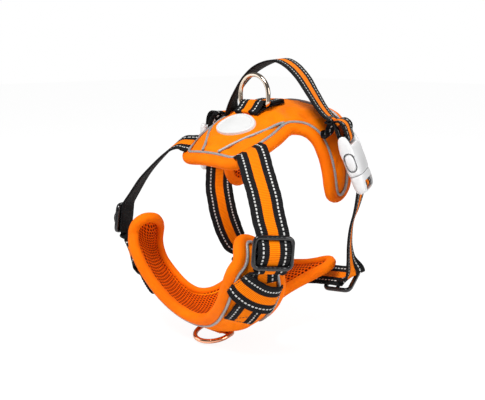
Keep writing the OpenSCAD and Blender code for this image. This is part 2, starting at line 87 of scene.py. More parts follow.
# ---------------------------------------------------------------- lines and vectors
def vec(*values):
    return np.array(values, float)


def unit(v):
    v = np.asarray(v, float)
    return v / max(float(np.linalg.norm(v)), 1e-12)


def smooth(x):
    """smoothstep of a number or an array"""
    c = np.clip(x, 0, 1)
    return c * c * (3 - 2 * c)


def spline(rows, t):
    """Catmull-Rom through rows, with t counted in rows"""
    n = len(rows)
    i = min(max(int(math.floor(t)), 0), n - 2)
    f = t - i
    a, b = rows[i], rows[i + 1]
    before = rows[i - 1] if i > 0 else 2 * a - b
    after = rows[i + 2] if i < n - 2 else 2 * b - a
    return 0.5 * ((2 * a) + (b - before) * f + (2 * before - 5 * a + 4 * b - after) * f * f
                  + (3 * a - before - 3 * b + after) * f * f * f)


def along(rows, share):
    return spline(rows, share * (len(rows) - 1))


def lengths(line):
    """distance along the line to each of its points"""
    return np.concatenate([[0], np.cumsum(np.linalg.norm(np.diff(line, axis=0), axis=1))])


def resample(line, dist, stations):
    return np.stack([np.interp(stations, dist, line[:, k]) for k in range(line.shape[1])], 1)


def even(line, step, closed=True):
    """points spaced evenly along the line"""
    line = np.vstack([line, line[:1]]) if closed else np.asarray(line, float)
    dist = lengths(line)
    n = max(4, int(round(dist[-1] / step)))
    return resample(line, dist, np.linspace(0, dist[-1], n + 1)[: n if closed else n + 1])


def soften(line, closed=False):
    """the line with each point drawn towards its neighbours"""
    if closed:
        return 0.25 * np.roll(line, 1, 0) + 0.5 * line + 0.25 * np.roll(line, -1, 0)
    line = line.copy()
    line[1:-1] = 0.25 * line[:-2] + 0.5 * line[1:-1] + 0.25 * line[2:]
    return line


def tangents(line, closed=False):
    n = len(line)
    if closed:
        return np.array([unit(line[(k + 1) % n] - line[k - 1]) for k in range(n)])
    return np.array([unit(line[min(k + 1, n - 1)] - line[max(k - 1, 0)]) for k in range(n)])


def placer(origin, x_axis, y_axis, z_axis):
    """a function that takes a part's own x, y, z to the harness"""
    return lambda x, y, z: origin + x * x_axis + y * y_axis + z * z_axis


# ---------------------------------------------------------------- surfaces of the two panels
# A pattern point is x, the distance around the body from its middle line, and y along it.
# Middle line of the back: y, z. One row every 11 mm of pattern y, row 6 at pattern y = 0.
SPINE = np.array([
    [-56, -38.2], [-46.6, -32.6], [-37.5, -26.6], [-28.7, -20], [-19.6, -13.8], [-10.1, -8.2],
    [0, -3.8], [10.8, -1.2], [21.7, 0.2], [32.7, 1.0], [43.7, 1.4], [54.6, 1.0], [65.4, -0.4]])
# radius across the back at the same rows
BACK_RADII = np.array([170, 160, 140, 110, 85, 72, 65, 61, 60, 60, 60, 60, 60.0])
# chest: height of the middle line and radius across, one row every 15 mm from y = -80
CHEST_Z = np.array([-152, -165, -170.5, -170.5, -166, -160, -153.5, -146, -138.5, -132])
CHEST_RADII = np.array([64, 73, 80, 81, 83, 92, 115, 145, 170, 180.0])


def back_point(x, y, height=0.0):
    """pattern point of the back, raised outwards by height"""
    def row(y):
        return y / 11 + 6

    radius = spline(BACK_RADII, row(y))
    angle = x / radius
    mid = spline(SPINE, row(y))
    ahead = unit(spline(SPINE, row(y + 0.5)) - spline(SPINE, row(y - 0.5)))
    # two low humps 46 mm either side of the middle
    hump = 7 * math.exp(-((abs(x) - 46) / 17) ** 2) * smooth((y - 6) / 34)
    reach = radius + height + hump
    up = reach * math.cos(angle) - radius
    return vec(reach * math.sin(angle), mid[0] - ahead[1] * up, mid[1] + ahead[0] * up)


def chest_surface(x, y):
    row = (y + 80) / 15
    radius = spline(CHEST_RADII, row)
    angle = x / radius
    pull = (max(0.0, abs(x) - 80) / 40) ** 2  # draws the wings in past x = 80
    return vec(radius * math.sin(angle) - math.copysign(17 * pull, x), y,
               spline(CHEST_Z, row) + radius * (1 - math.cos(angle)))


def chest_point(x, y, height=0.0):
    """pattern point of the chest, raised outwards by height"""
    normal = unit(np.cross(chest_surface(x, y + 0.5) - chest_surface(x, y - 0.5),
                           chest_surface(x + 0.5, y) - chest_surface(x - 0.5, y)))
    return chest_surface(x, y) + height * normal


def normal_at(surface, x, y):
    return unit(surface(x, y, 1.0) - surface(x, y, 0.0))


def table(rows):
    return np.array(rows, float)


def middle_line(*stations):
    return table([[0, y] for y in stations])


# Outlines of the left half in pattern x, y. The neck and tail edges run from the middle line
# to the side edge, the side edge runs from neck to tail, and so does the middle line.
PANELS = {
    "back": SimpleNamespace(
        surface=back_point,
        neck=table([[0, -57], [9, -57], [18, -57.1], [24, -57], [27, -54]]),
        side=table([[27, -54], [31, -45], [34, -33], [35, -20], [34, -7], [35, 4], [39.5, 13],
                    [47, 18.5], [58, 22.5], [72, 24.5], [84, 24.8], [94, 25.6], [102.5, 28.4],
                    [105.5, 34]]),
        tail=table([[0, 46], [20, 47], [40, 47.5], [60, 47], [78, 45], [92.5, 42],
                    [101.5, 38.5], [105.5, 34]]),
        middle=middle_line(-57, -49, -39, -28, -16, -5, 4, 11, 18, 24, 30, 36, 41, 46)),
    "chest": SimpleNamespace(
        surface=chest_point,
        neck=table([[0, -64], [22, -67], [44, -73], [62, -77], [78, -78], [92, -74],
                    [113, -68], [119, -62]]),
        side=table([[119, -62], [119, -57], [114, -52], [98, -49], [81, -46], [66, -42],
                    [50, -38], [37, -31.5], [27.5, -20], [24, -6], [26, 8], [32.5, 20],
                    [41, 30.5], [50, 40]]),
        tail=table([[0, 34], [12, 34.6], [24, 36.2], [37, 39], [44.5, 41], [50, 40]]),
        middle=middle_line(-64, -59, -54, -49, -44, -39, -33, -26, -17, -6, 5, 15, 25, 34)),
}


def coons(panel, p, q):
    """pattern point at share p from middle to side, and q from neck to tail"""
    neck, tail = panel.neck, panel.tail
    return ((1 - p) * along(panel.middle, q) + p * along(panel.side, q)
            + (1 - q) * along(neck, p) + q * along(tail, p)
            - ((1 - p) * (1 - q) * neck[0] + p * (1 - q) * neck[-1]
               + (1 - p) * q * tail[0] + p * q * tail[-1]))


def outline(panel, end_steps, side_steps):
    """the closed outline of both halves"""
    half = ([along(panel.neck, i / end_steps) for i in range(end_steps + 1)]
            + [along(panel.side, i / side_steps) for i in range(1, side_steps + 1)]
            + [along(panel.tail, 1 - i / end_steps) for i in range(1, end_steps + 1)])
    return np.array(half + [vec(-x, y) for x, y in half[-2:0:-1]])


def fine_outline(panel, step):
    return even(outline(panel, 60, 160), step)


# ---------------------------------------------------------------- mesh tools
def dress(obj, body="root", nodes=(), slot=None, mat=None):
    if mat:
        obj.data.materials.clear()
        obj.data.materials.append(mat)
    if body:
        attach(obj, body)
    if nodes:
        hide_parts(*nodes)
    return obj


def new_object(name, data):
    obj = bpy.data.objects.new(name, data)
    scene.collection.objects.link(obj)
    return obj


def face_outwards(mesh):
    edit = bmesh.new()
    edit.from_mesh(mesh)
    bmesh.ops.recalc_face_normals(edit, faces=edit.faces)
    edit.to_mesh(mesh)
    edit.free()


def new_mesh(name, points, faces):
    mesh = bpy.data.meshes.new(name)
    mesh.from_pydata(np.asarray(points, float).tolist(), [],
                     [tuple(int(i) for i in face) for face in faces])
    face_outwards(mesh)
    return mesh


def make(name, points, faces, attrs, mirror=False, **dressing):
    """a finished object from points in mm"""
    points = np.array(points, float)
    if mirror:
        points[:, 0] *= -1
        faces = [tuple(reversed(face)) for face in faces]
    mesh = new_mesh(name, points * MM, faces)
    for key, values in attrs.items():
        data = mesh.attributes.new(key, "FLOAT", "POINT").data
        data.foreach_set("value", np.asarray(values, np.float32))
    mesh.shade_smooth()
    return dress(new_object(name, mesh), **dressing)


def apply_mods(obj):
    bpy.context.view_layer.update()
    graph = bpy.context.evaluated_depsgraph_get()
    mesh = bpy.data.meshes.new_from_object(obj.evaluated_get(graph),
                                           preserve_all_data_layers=True, depsgraph=graph)
    obj.modifiers.clear()
    old = obj.data
    obj.data = mesh
    bpy.data.meshes.remove(old)
    mesh.shade_smooth()


def subdivide(obj):
    mod = obj.modifiers.new("sub", "SUBSURF")
    mod.levels = mod.render_levels = 1
    apply_mods(obj)


def tube_faces(rings, count, closed=False, caps=True, first=0):
    """quads between rings of count points, and the two end caps of an open tube"""
    faces = []
    for k in range(rings if closed else rings - 1):
        here, there = first + k * count, first + (k + 1) % rings * count
        for a in range(count):
            b = (a + 1) % count
            faces.append((here + a, here + b, there + b, there + a))
    if caps and not closed:
        last = first + (rings - 1) * count
        faces.append(tuple(range(first, first + count))[::-1])
        faces.append(tuple(range(last, last + count)))
    return faces


def sweep(line, x_axes, z_axes, section, closed, scale):
    """a section of (x, z) carried along a line; scale(k, a) sizes point a of ring k"""
    points = []
    for k in range(len(line)):
        for a, (x, z) in enumerate(section):
            size = scale(k, a)
            points.append(line[k] + x_axes[k] * x * size + z_axes[k] * z * size)
    return np.array(points), tube_faces(len(line), len(section), closed)


# ---------------------------------------------------------------- webbing and stitches
def web_section(width, thick):
    """x, z and side (1 top, -1 bottom, 0 edge) of the 36 points round a flat strap"""
    r = thick / 2
    flat = width / 2 - r
    xs = np.linspace(-flat, flat, 15)
    top = [(x, r + 0.14 * math.cos(math.pi * x / width), 1.0) for x in xs]
    edge = [(flat + r * math.sin(a) * 0.9, r * math.cos(a), 0.0)
            for a in (0.9, math.pi / 2, math.pi - 0.9)]
    bottom = [(x, -r - 0.1 * math.cos(math.pi * x / width), -1.0) for x in xs[::-1]]
    return top + edge + bottom + [(-x, z, side) for x, z, side in edge[::-1]]


def strap_path(points, across, step):
    """an evenly spaced smooth line, with its width and normal directions"""
    points = np.array(points, float)
    across = np.broadcast_to(np.array(across, float), points.shape)
    n = (len(points) - 1) * 14
    dense = np.array([along(points, i / n) for i in range(n + 1)])
    hints = np.array([along(across, i / n) for i in range(n + 1)])
    dist = lengths(dense)
    stations = np.linspace(0, dist[-1], max(6, int(dist[-1] / step)) + 1)
    line = soften(soften(resample(dense, dist, stations)))
    hints = resample(hints, dist, stations)
    ahead = tangents(line)
    across = np.array([unit(h - (h @ t) * t) for h, t in zip(hints, ahead)])
    return SimpleNamespace(line=line, across=across, normal=np.cross(across, ahead),
                           dist=lengths(line))


def strap(name, points, across, width=WEB_WIDTH, thick=WEB_THICK, face=1, start=0.0,
          mirror=False, step=1.25, slot="webbing", **dressing):
    """a length of webbing; face is the striped side, start shifts its pattern along it"""
    path = strap_path(points, across, step)
    section = web_section(width, thick)
    n, m = len(path.line), len(section)
    verts, su, sv, sf = [], [], [], []
    for k, dist in enumerate(path.dist):
        # the width wanders slightly
        waver = 1 + 0.008 * math.sin(dist * 0.37 + start) + 0.006 * math.sin(dist * 0.91)
        for x, z, side in section:
            verts.append(path.line[k] + path.across[k] * x * waver + path.normal[k] * z)
            su.append(x)
            sv.append(dist + start)
            sf.append(side * face)
    faces = tube_faces(n, m, caps=False)
    for base in (0, (n - 1) * m):
        # each end is a row of quads from top to bottom, with a small face at each edge
        for i in range(15):
            faces.append((base + i, base + i + 1, base + 31 - i, base + 32 - i))
        faces.append((base + 15, base + 16, base + 17))
        faces.append((base + 0, base + 32, base + 33, base + 34, base + 35))
    path.thick = thick
    path.obj = make(name, verts, faces, dict(su=su, sv=sv, sf=sf), mirror=mirror, slot=slot,
                    **dressing)
    return path


def on_strap(path, dist, x, height):
    """the point dist along a strap, x across it and height above its middle"""
    point, across, normal = (
        vec(*[np.interp(dist, path.dist, rows[:, k]) for k in range(3)])
        for rows in (path.line, path.across, path.normal))
    return point + x * unit(across) + unit(normal) * height


def thread(name, stitches, radius=0.23, **dressing):
    """short threads, each (start, end, normal) and arched along its normal"""
    # share of the length, share of the radius, height
    arch = ((0.0, 0.35, -0.25), (0.16, 0.95, 0.04), (0.5, 1.0, 0.12), (0.84, 0.95, 0.04),
            (1.0, 0.35, -0.25))
    points, faces = [], []
    for start, end, normal in stitches:
        faces += tube_faces(len(arch), 6, first=len(points))
        ahead = unit(end - start)
        side = unit(np.cross(ahead, normal))
        up = np.cross(side, ahead)
        length = np.linalg.norm(end - start)
        for share, size, height in arch:
            centre = start + ahead * length * share + up * height
            for a in range(6):
                g = a * math.pi / 3
                points.append(centre + radius * size * (math.cos(g) * side + math.sin(g) * up))
    return make(name, points, faces, {}, slot="thread", **dressing)


def seam(path, corners, side=1):
    """stitches on one side of a strap along the corners, (distance along, x)"""
    pitch, length, lift = 2.3, 1.7, 0.2
    height = side * (path.thick / 2 + lift)
    line = even(np.array(corners, float), 0.25, False)
    dist = lengths(line)
    stitches = []
    for at in np.arange(0.2, dist[-1] - length * 0.5, pitch):
        (s0, x0), (s1, x1) = resample(line, dist, np.minimum([at, at + length], dist[-1]))
        start, end = on_strap(path, s0, x0, height), on_strap(path, s1, x1, height)
        stitches.append((start, end, unit(on_strap(path, s0, x0, 2 * height) - start)))
    return stitches


def bar_tack(path, at, side):
    """a dense row of slanted stitches across a strap"""
    width, count, long, slant, lift = 22, 30, 2.2, 0.25, 0.22
    height = side * (path.thick / 2 + lift)
    stitches = []
    for i in range(count):
        x = -width / 2 + width * i / (count - 1)
        start = on_strap(path, at - long / 2, x - slant, height)
        end = on_strap(path, at + long / 2, x + slant, height)
        normal = unit(on_strap(path, at, x, 2 * height) - on_strap(path, at, x, height))
        stitches.append((start, end, normal))
    return stitches


def wrap_radius(bar_radius):
    """radius at which the middle of the webbing passes round a bar"""
    return bar_radius + 0.3 + WEB_THICK / 2


# ---------------------------------------------------------------- materials
class Shader:
    """a principled material, with short calls for its nodes"""

    def __init__(self, name, **inputs):
        self.material = bpy.data.materials.new(name)
        self.material.use_nodes = True
        self.tree = self.material.node_tree
        self.bsdf = next(n for n in self.tree.nodes if n.type == "BSDF_PRINCIPLED")
        for key, value in inputs.items():
            self.bsdf.inputs[key.replace("_", " ")].default_value = value

    def node(self, kind, **props):
        node = self.tree.nodes.new(kind)
        for key, value in props.items():
            setattr(node, key, value)
        return node

    def feed(self, socket, value):
        if isinstance(value, (int, float, tuple)):
            socket.default_value = value
        else:
            self.tree.links.new(value, socket)

    def math(self, operation, *values):
        node = self.node("ShaderNodeMath", operation=operation)
        for socket, value in zip(node.inputs, values):
            self.feed(socket, value)
        return node.outputs[0]

    def times(self, a, b):
        return self.math("MULTIPLY", a, b)

    def plus(self, a, b):
        return self.math("ADD", a, b)

    def minus(self, a, b):
        return self.math("SUBTRACT", a, b)

    def size(self, a):
        return self.math("ABSOLUTE", a)

    def attr(self, name):
        return self.node("ShaderNodeAttribute", attribute_name=name).outputs["Fac"]

    def edges(self):
        return self.node("ShaderNodeNewGeometry").outputs["Pointiness"]

    def noise(self, scale, detail, rough=0.6):
        place = self.node("ShaderNodeTexCoord").outputs["Object"]
        node = self.node("ShaderNodeTexNoise")
        for key, value in (("Vector", place), ("Scale", scale), ("Detail", detail),
                           ("Roughness", rough)):
            self.feed(node.inputs[key], value)
        return node.outputs["Fac"]

    def remap(self, value, span, to=(0.0, 1.0)):
        node = self.node("ShaderNodeMapRange")
        for key, x in zip(("Value", "From Min", "From Max", "To Min", "To Max"),
                          (value, *span, *to)):
            self.feed(node.inputs[key], x)
        return node.outputs["Result"]

    def mix(self, share, a, b):
        node = self.node("ShaderNodeMix", data_type="RGBA")
        self.feed(node.inputs[0], share)
        for socket, color in ((node.inputs[6], a), (node.inputs[7], b)):
            self.feed(socket, color + (1,) if isinstance(color, tuple) else color)
        return node.outputs[2]

    def wave(self, value, period):
        return self.math("SINE", self.math("MULTIPLY_ADD", value, 2 * math.pi / period, 0.0))

    def bump(self, height, strength, distance):
        node = self.node("ShaderNodeBump")
        for key, value in (("Strength", strength), ("Distance", distance), ("Height", height)):
            self.feed(node.inputs[key], value)
        self.tree.links.new(node.outputs["Normal"], self.bsdf.inputs["Normal"])

    def color(self, value):
        self.feed(self.bsdf.inputs["Base Color"], value)

    def rough(self, value):
        self.feed(self.bsdf.inputs["Roughness"], value)


# The attributes su and sv are mm across and along the cloth; sf is 1 on a strap's marked face.
def fabric(name, base, dark, light, pitch, cell):
    """woven nylon: weave of the given pitch, dimples cell mm apart with painted shade in them,
    uneven dye
    """
    rough = 0.62
    dimple_depth, grain_depth = 1.6, 0.9
    sh = Shader(name, Roughness=rough, Sheen_Weight=0.0, Sheen_Roughness=0.45,
                Specular_IOR_Level=0.07)
    u, v = sh.attr("su"), sh.attr("sv")
    weave = sh.times(sh.wave(u, pitch), sh.wave(v, pitch))
    dye, grain = sh.noise(scale=38, detail=4), sh.noise(scale=900, detail=2)
    color = sh.mix(sh.remap(dye, span=(0.35, 0.68)), dark, base)
    color = sh.mix(sh.remap(weave, span=(-1, 1), to=(0.0, 0.22)), color, light)
    # dimples where two slanted waves cross
    slant = 0.55
    dimple = sh.times(sh.wave(sh.plus(u, sh.times(v, slant)), cell),
                      sh.wave(sh.minus(u, sh.times(v, slant)), cell))
    # painted shade: the dimples are painted towards the dark tone, as the shade in their hollows
    color = sh.mix(sh.remap(dimple, span=(0.0, 0.9), to=(0.0, 0.42)), color, dark)
    height = sh.minus(weave, sh.times(dimple, dimple_depth))
    sh.color(sh.mix(sh.remap(sh.edges(), span=(0.5, 0.58), to=(0.0, 0.35)), color, light))
    sh.rough(sh.remap(grain, span=(0.3, 0.7), to=(rough - 0.08, rough + 0.1)))
    sh.bump(sh.math("MULTIPLY_ADD", grain, grain_depth, height),
            strength=0.32, distance=0.00016)
    return sh.material


def air_mesh(name):
    """a knit with staggered rows of small open holes, painted near black as the shade inside them
    """
    pitch, row_share, squash = 3.15, 0.86, 0.8  # hole spacing, row spacing over it, hole shape
    hole_depth, knit_depth = -3.0, 0.35
    sh = Shader(name, Roughness=0.85, Sheen_Weight=0.0, Specular_IOR_Level=0.05)
    u, v = sh.attr("su"), sh.attr("sv")
    rows = sh.math("DIVIDE", v, pitch * row_share)
    stagger = sh.math("FRACT", sh.times(sh.math("FLOOR", rows), 0.5))
    columns = sh.math("MULTIPLY_ADD", stagger, 1.0, sh.math("DIVIDE", u, pitch))
    x = sh.minus(sh.math("FRACT", columns), 0.5)
    y = sh.minus(sh.math("FRACT", rows), 0.5)
    radius = sh.math("SQRT", sh.plus(sh.times(x, x), sh.times(sh.times(y, y), squash)))
    hole = sh.remap(radius, span=(0.36, 0.27))
    color = sh.mix(sh.remap(sh.noise(scale=60, detail=3), span=(0.35, 0.7)),
                   (0.72, 0.078, 0.0), (0.86, 0.105, 0.0))
    knit = sh.times(sh.wave(u, period=0.5), sh.wave(v, period=0.5))
    color = sh.mix(sh.remap(knit, span=(-1, 1), to=(0, 0.3)), color, (0.95, 0.17, 0.002))
    # painted shade: the holes are painted near black, standing in for the shade inside them
    sh.color(sh.mix(hole, color, (0.085, 0.006, 0.0)))
    sh.bump(sh.plus(sh.times(hole, hole_depth), sh.times(knit, knit_depth)),
            strength=0.5, distance=0.0003)
    return sh.material


def webbing(name, both_faces):
    """black webbing, orange centre, a row of white dashes in each black band"""
    jag_depth = 0.16              # ragged edge of the orange stripe
    dash_x, dash_pitch = 7.9, 2.75
    dash_round = 0.10             # rounds the ends of a dash
    chevron = 0.6                 # slant of the weave
    rib_share = 0.55              # share of the ribs in the painted highlight on the black's rib tops
    weave_depth, rib_depth, warp_depth, dash_depth = 0.8, 0.7, 0.25, 1.2
    sh = Shader(name, Roughness=0.75, Sheen_Weight=0.0, Specular_IOR_Level=0.07)
    u, v = sh.attr("su"), sh.attr("sv")
    off_mid = sh.size(u)
    jag = sh.times(sh.wave(v, period=1.3), jag_depth)
    face = 1.0 if both_faces else sh.remap(sh.attr("sf"), span=(-0.05, 0.05))
    stripe = sh.remap(sh.plus(off_mid, jag), span=(3.75, 3.5))
    off_dash = sh.size(sh.minus(off_mid, dash_x))
    step = sh.size(sh.minus(sh.math("FRACT", sh.math("DIVIDE", v, dash_pitch)), 0.5))
    dash = sh.times(sh.remap(off_dash, span=(0.68, 0.48)),
                    sh.remap(sh.math("MULTIPLY_ADD", off_dash, dash_round, step),
                             span=(0.36, 0.30)))
    rib, warp = sh.wave(v, period=1.25), sh.wave(u, period=0.85)
    weave = sh.times(sh.wave(sh.plus(v, sh.times(off_mid, chevron)), period=1.25),
                     sh.wave(u, period=1.7))
    grain = sh.noise(scale=700, detail=2)
    # painted highlight: the black is painted lighter on the rib tops, and the weave and random
    # grain add tone
    shade = sh.plus(sh.math("MULTIPLY_ADD", rib, rib_share, weave), grain)
    black = sh.mix(sh.remap(shade, span=(-0.3, 2.0)),
                   (0.001, 0.001, 0.0013), (0.026, 0.026, 0.028))
    # painted highlight and shade: the orange stripe is painted lighter on the rib tops and darker
    # between them
    orange = sh.mix(sh.remap(rib, span=(-1, 1)), (0.70, 0.13, 0.0), (1.0, 0.245, 0.0))
    white = sh.mix(grain, (0.42, 0.42, 0.41), (0.74, 0.74, 0.72))
    color = sh.mix(sh.times(stripe, face), black, orange)
    sh.color(sh.mix(sh.times(dash, face), color, white))
    sh.rough(sh.remap(grain, span=(0.3, 0.7), to=(0.58, 0.8)))
    height = sh.plus(sh.times(weave, weave_depth), sh.times(rib, rib_depth))
    height = sh.plus(height, sh.times(warp, warp_depth))
    height = sh.plus(height, sh.times(sh.times(dash, face), dash_depth))
    sh.bump(height, strength=0.5, distance=0.00022)
    return sh.material


def reflective_tape(name):
    """grey beaded film over a cord, with fine cross creases"""
    crease_depth = 0.5
    sh = Shader(name, Roughness=0.42, Metallic=0.35, Specular_IOR_Level=0.6)
    v = sh.attr("sv")
    beads, wear = sh.noise(scale=1400, detail=2), sh.noise(scale=55, detail=3)
    color = sh.mix(sh.remap(beads, span=(0.35, 0.65)),
                   (0.22, 0.225, 0.23), (0.40, 0.405, 0.41))
    sh.color(sh.mix(sh.remap(wear, span=(0.35, 0.75), to=(0, 0.3)), color,
                    (0.50, 0.50, 0.495)))
    sh.rough(sh.remap(beads, span=(0.3, 0.7), to=(0.42, 0.6)))
    sh.bump(sh.plus(sh.times(sh.wave(v, period=1.9), crease_depth), beads),
            strength=0.35, distance=0.00018)
    return sh.material


def plastic(name, base, shade, rough, coat=0.0, grain_scale=700):
    """moulded plastic with a fine grain, its edges paler and smoother"""
    sh = Shader(name, Roughness=rough, Coat_Weight=coat, Coat_Roughness=0.12,
                Specular_IOR_Level=0.5)
    grain, cloud = sh.noise(grain_scale, detail=2), sh.noise(scale=45, detail=4)
    edges = sh.edges()
    color = sh.mix(sh.remap(cloud, span=(0.3, 0.75)), shade, base)
    worn = tuple(min(1.0, x * 1.15 + 0.01) for x in base)
    sh.color(sh.mix(sh.remap(edges, span=(0.5, 0.6), to=(0, 0.3)), color, worn))
    sh.rough(sh.plus(sh.remap(grain, span=(0.3, 0.7), to=(rough - 0.05, rough + 0.06)),
                     sh.remap(edges, span=(0.5, 0.6), to=(0.0, -0.06))))
    sh.bump(grain, strength=0.10, distance=0.00008)
    return sh.material


def metal(name, base, shade):
    """polished plated wire with light handling marks"""
    rough = 0.09
    sh = Shader(name, Roughness=rough, Metallic=1.0)
    marks, cloud = sh.noise(scale=320, detail=5, rough=0.7), sh.noise(scale=25, detail=3)
    sh.color(sh.mix(sh.remap(cloud, span=(0.3, 0.7)), shade, base))
    sh.rough(sh.remap(marks, span=(0.45, 0.8), to=(rough, rough + 0.16)))
    sh.bump(marks, strength=0.05, distance=0.00005)
    return sh.material


ORANGE = fabric("orange_nylon", base=(1.0, 0.215, 0.0), dark=(0.88, 0.155, 0.0),
                light=(1.0, 0.31, 0.003), pitch=0.62, cell=1.9)
EDGE = fabric("edge_binding", base=(0.98, 0.178, 0.0), dark=(0.84, 0.122, 0.0),
              light=(1.0, 0.27, 0.002), pitch=0.55, cell=1.35)
LINING = air_mesh("air_mesh")
WEB_ONE = webbing("webbing_one_face", both_faces=False)
WEB_BOTH = webbing("webbing_both_faces", both_faces=True)
TAPE = reflective_tape("reflective_piping")
WHITE = plastic("white_buckle", base=(0.72, 0.72, 0.723), shade=(0.66, 0.66, 0.665),
                rough=0.34, coat=0.12)
BLACK = plastic("black_slider", base=(0.008, 0.008, 0.009), shade=(0.004, 0.004, 0.005),
                rough=0.2, coat=0.3)
RUBBER = plastic("badge_rubber", base=(0.66, 0.66, 0.656), shade=(0.60, 0.60, 0.597),
                 rough=0.55, grain_scale=1100)
STEEL = metal("back_ring_metal", base=(0.78, 0.70, 0.60), shade=(0.62, 0.48, 0.36))
COPPER = metal("front_ring_metal", base=(0.93, 0.55, 0.36), shade=(0.82, 0.42, 0.26))
BLACK_THREAD = plastic("black_thread", base=(0.02, 0.02, 0.022), shade=(0.012, 0.012, 0.013),
                       rough=0.55, grain_scale=1800)
ORANGE_THREAD = plastic("orange_thread", base=(0.85, 0.17, 0.004), shade=(0.65, 0.11, 0.002),
                        rough=0.6, grain_scale=1800)


# ---------------------------------------------------------------- padded panels
def edge_distance(points, loop):
    """distance in the pattern from each point to the closed outline"""
    spans = np.roll(loop, -1, 0) - loop
    nearest = np.full(len(points), 1e9)
    for corner, span in zip(loop, spans):
        off = points - corner
        share = np.clip(off @ span / max(span @ span, 1e-9), 0, 1)
        nearest = np.minimum(nearest, np.linalg.norm(off - share[:, None] * span, axis=1))
    return nearest


def pattern_grid(panel, nx, ny):
    """pattern points of both halves, and the distance of each from the edge"""
    flat = []
    for i in range(-nx, nx + 1):
        for j in range(ny + 1):
            x, y = coons(panel, abs(i) / nx, j / ny)
            flat.append((math.copysign(x, i) if i else 0.0, y))
    flat = np.array(flat)
    return flat, edge_distance(flat, outline(panel, 30, 90))


def pattern_noise(flat, size, seed):
    return np.array([noise.noise(Vector((x / size, y / size, seed))) for x, y in flat])


def shell(name, panel, flat, first, second, nx, ny, first_up):
    """a closed shell of two layers of the pattern grid, at the given heights"""
    cols, rows = 2 * nx + 1, ny + 1
    layer = cols * rows
    points = [panel.surface(x, y, height) for heights in (first, second)
              for (x, y), height in zip(flat, heights)]

    def quad(k, up):
        corners = (k + rows, k + rows + 1, k + 1)
        return (k, *(corners if up else corners[::-1]))

    faces = []
    for i in range(cols - 1):
        for j in range(rows - 1):
            k = i * rows + j
            faces += [quad(k, first_up), quad(layer + k, not first_up)]
    ring = ([i * rows for i in range(cols)]
            + [(cols - 1) * rows + j for j in range(1, rows)]
            + [i * rows + rows - 1 for i in range(cols - 2, -1, -1)]
            + list(range(rows - 2, 0, -1)))
    for a, b in zip(ring, ring[1:] + ring[:1]):
        if not first_up:
            a, b = b, a
        faces.append((a, b, layer + b, layer + a))
    attrs = dict(su=np.tile(flat[:, 0], 2), sv=np.tile(flat[:, 1], 2))
    return make(name, points, faces, attrs, body=None)


def inflate(obj, pin, cap):
    """puffs a mesh as pressurised cloth; returns each point's move, at most cap metres"""
    frames = 20
    rest = np.array([v.co for v in obj.data.vertices])
    group = obj.vertex_groups.new(name="pin")
    for i in np.nonzero(pin > 0.02)[0]:
        group.add([int(i)], float(pin[i]), "REPLACE")
    mod = obj.modifiers.new("cloth", "CLOTH")
    cloth = mod.settings
    cloth.quality, cloth.mass = 6, 0.3
    cloth.tension_stiffness = cloth.compression_stiffness = 20
    cloth.shear_stiffness, cloth.bending_stiffness = 8, 0.6
    cloth.use_pressure, cloth.uniform_pressure_force = True, 4.0
    cloth.vertex_group_mass, cloth.pin_stiffness = "pin", 1.0
    cloth.shrink_min = -0.02  # negative, so the cloth grows
    cloth.effector_weights.gravity = 0
    mod.collision_settings.use_collision = False
    mod.point_cache.frame_start, mod.point_cache.frame_end = 1, frames
    scene.frame_start, scene.frame_end = 1, frames
    for number in range(1, frames + 1):
        scene.frame_set(number)
    graph = bpy.context.evaluated_depsgraph_get()
    moved = np.array([v.co for v in obj.evaluated_get(graph).data.vertices])
    obj.modifiers.remove(mod)
    obj.vertex_groups.clear()
    scene.frame_set(1)
    move = moved - rest
    size = np.linalg.norm(move, axis=1)
    return move * np.minimum(1.0, cap / np.maximum(size, 1e-9))[:, None]


def panel_cover(kind, nx, ny, hold):
    """the outer fabric, puffed up but held down where things are sewn to it"""
    flat, inset = pattern_grid(PANELS[kind], nx, ny)
    held = np.array([hold(abs(x), y) for x, y in flat])
    loose = 1 - held
    # the binding gathers the cloth, so short creases run in from the edge
    pucker = pattern_noise(flat, 5.0, 3.3) * 0.45 * np.exp(-inset / 7.0) * smooth(inset / 1.5)
    swell = pattern_noise(flat, 27.0, 8.1) * 0.5 * smooth(inset / 14.0)
    top = (-1.5 * (1 - smooth(inset / 3.6))
           + (0.15 + 0.55 * smooth(inset / 18.0)) * smooth(inset / 5.0) * loose
           + pucker * loose + swell * loose)
    under = -7.0 + 0.9 * (1 - smooth(inset / 4.0))
    obj = shell(f"{kind}_panel_cover", PANELS[kind], flat, top, under, nx, ny, first_up=True)
    pin = np.concatenate([np.maximum(1 - smooth((inset - 1.0) / 3.0), held),
                          np.ones(len(flat))])
    move = inflate(obj, pin, cap=0.0022)
    free = np.concatenate([loose * smooth(inset / 6.0), np.zeros(len(flat))])
    points = np.array([v.co for v in obj.data.vertices]) + move * free[:, None]
    obj.data.vertices.foreach_set("co", points.astype(np.float32).ravel())
    obj.data.update()
    subdivide(obj)
    dress(obj, mat=ORANGE, slot="shell_fabric", nodes=(f"{kind}_shell", f"{kind}_foam"))


